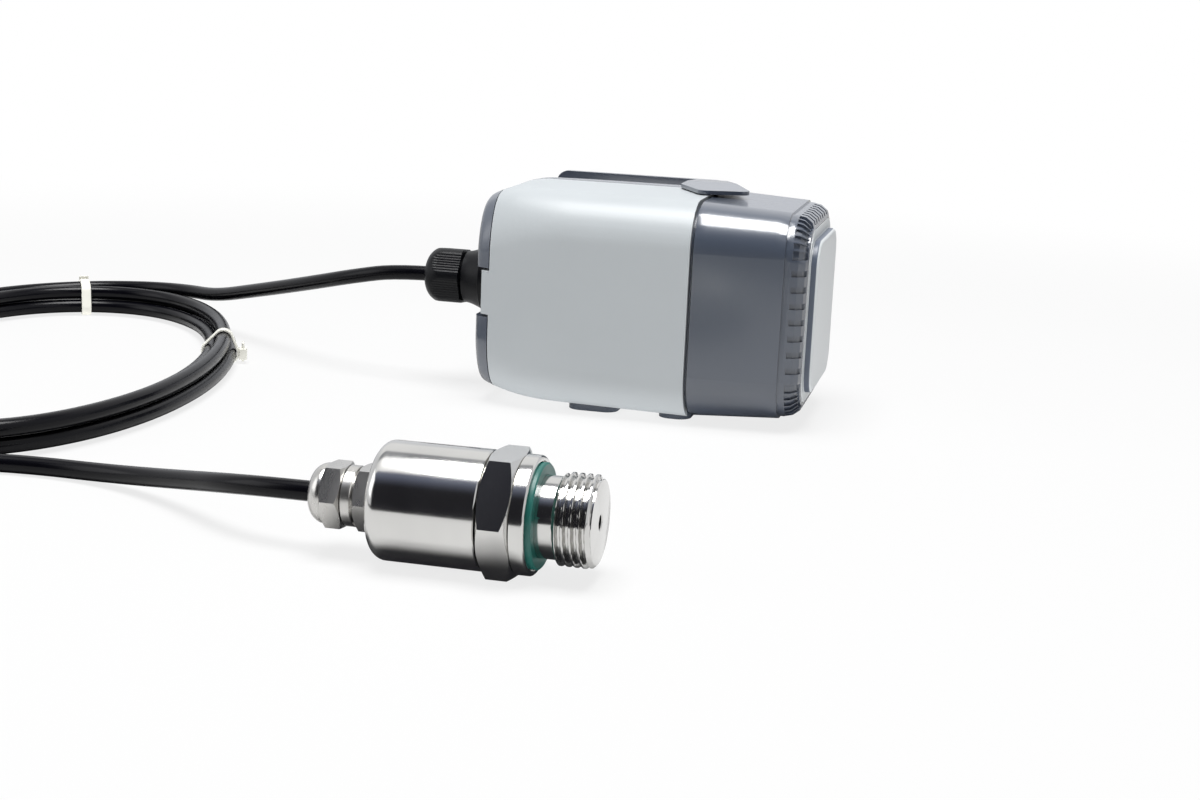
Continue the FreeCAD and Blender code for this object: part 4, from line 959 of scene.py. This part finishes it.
to_camera, to_mirror, to_glass = room.rays("Camera", "Glossy", "Transmission")
middle = 1 - room.ranged(sideways.sum("ABSOLUTE", sideways), SIDE_FROM, SIDE_TO)
dusk = room.mixed(room.ranged(turn_up, DUSK_FROM, DARK_TO), (*DARK_ROOM, 1), (*DUSK_BLUE, 1))
side_wall = room.mixed(middle, (*SIDE_WALL, 1), WHITE)
low_back = room.ranged(turn_up, LOW_BACK_FROM, LOW_BACK_TO)
side_wall = room.mixed(low_back, side_wall, (*LOW_BACK, 1))
mirror_view = room.mixed(between(turn_up, DARK_FROM, DARK_TO) * middle, side_wall, dusk)
mirror_view = room.mixed(between(turn_up, SEAM_FROM, SEAM_TO) * middle, mirror_view, (*SEAM_GREY, 1))
soft_light = room.mixed(room.ranged(height, -0.1, 0.9), SOFT_BELOW, WHITE)
shown = room.mixed(to_camera, room.mixed(to_mirror + to_glass, soft_light, mirror_view), WHITE)
room.join(background.inputs["Color"], shown)
seen = 1 - (1 - to_camera) * (1 - to_mirror) * (1 - to_glass)
room.join(background.inputs["Strength"], SOFT_LEVEL + seen * (1 - SOFT_LEVEL))

# %% [markdown]
# The floor is a pale plane. For the camera most of its brightness is its own, more so far off, so that it
# stays white, and the rest is real light, so that the object still drops a soft shadow on it. It also
# throws light up at the plastic, as a white table does. Mirrors see where the table ends, and a shadow
# painted on the table under the probe.

# %% Floor and lamps
FLOOR_HALF = 3.0
FLOOR_DROP = 0.05 * MM
FLOOR_TONE = 0.55
FAR_FROM, FAR_TO = 0.3, 0.7
TABLE_EDGE, EDGE_BLUR = -0.24, 0.02
SHADE_FROM, SHADE_TO = 9.5 * MM, 14.5 * MM
SHADE_ENDS = 8 * MM
SHADE_SHARE = 0.8
OWN_WHITE = 0.8
PLASTIC_GLOW = 0.9

floor_mesh = bpy.data.meshes.new("floor")
corners = [(x * FLOOR_HALF, y * FLOOR_HALF, -FLOOR_DROP) for x, y in ((-1, -1), (1, -1), (1, 1), (-1, 1))]
floor_mesh.from_pydata(corners, [], [(0, 1, 2, 3)])
floor = add_object("floor", floor_mesh)
table = new_finish("floor_white", (FLOOR_TONE, FLOOR_TONE, FLOOR_TONE), 0.9)
floor_mesh.materials.append(table.material)
to_camera, to_mirror, to_plastic = table.rays("Camera", "Glossy", "Diffuse")
table_x, table_y, _ = table.parts(table.place)
from_middle = table.node("VectorMath", {"operation": "LENGTH"}, {0: table.place}, 1)
far_off = table.ranged(from_middle, FAR_FROM, FAR_TO)
past_edge = table.ranged(table_y, TABLE_EDGE, TABLE_EDGE - EDGE_BLUR)
probe_low, probe_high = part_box("probe_gland_nut")[0].x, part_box("process_connection")[1].x
# Painted shadow: under the probe the table looks dark to mirrors, with soft edges at the probe's ends.
beside = table_y - thread_face.y
painted_shade_under_probe = 1 - table.ranged(beside.sum("ABSOLUTE", beside), SHADE_FROM, SHADE_TO)
painted_shade_under_probe = painted_shade_under_probe * table.ranged(table_x, probe_low, probe_low + SHADE_ENDS)
painted_shade_under_probe = painted_shade_under_probe * table.ranged(table_x, probe_high, probe_high - SHADE_ENDS)
glow = table.node("Emission", None, {"Color": WHITE, "Strength": 1 + to_plastic * PLASTIC_GLOW})
dark = table.node("Emission", None, {"Color": (*DARK_ROOM, 1), "Strength": 1.0})
white_share = to_camera * (OWN_WHITE + far_off * (1 - OWN_WHITE)) + to_plastic * OWN_WHITE
dark_share = to_mirror * (past_edge + painted_shade_under_probe * SHADE_SHARE)
lit = table.node("MixShader", None, {0: white_share, 1: Value(table, table.shader.outputs[0]), 2: glow})
seen_floor = table.node("MixShader", None, {0: dark_share, 1: lit, 2: dark})
table.tree.links.new(seen_floor.socket, table.tree.nodes["Material Output"].inputs["Surface"])


def softbox(name, place, target, width, depth, power):
    """A rectangular soft lamp that looks at a point."""
    data = bpy.data.lights.new(name, "AREA")
    data.shape = "RECTANGLE"
    data.size, data.size_y, data.energy = width, depth, power
    lamp = add_object(name, data)
    lamp.location = place
    lamp.rotation_euler = (Vector(target) - Vector(place)).to_track_quat("-Z", "Y").to_euler()
    return lamp


softbox("overhead", (0.0, -0.12, 1.3), (0, -0.12, 0), 0.9, 0.75, 30.0)
softbox("left_fill", (-1.3, -0.6, 0.7), (0, 0, 0.03), 0.9, 0.9, 3.0)

# %% [markdown]
# Last, the colours are shown through the standard view transform.

# %% View transform
bpy.context.scene.view_settings.view_transform = "Standard"
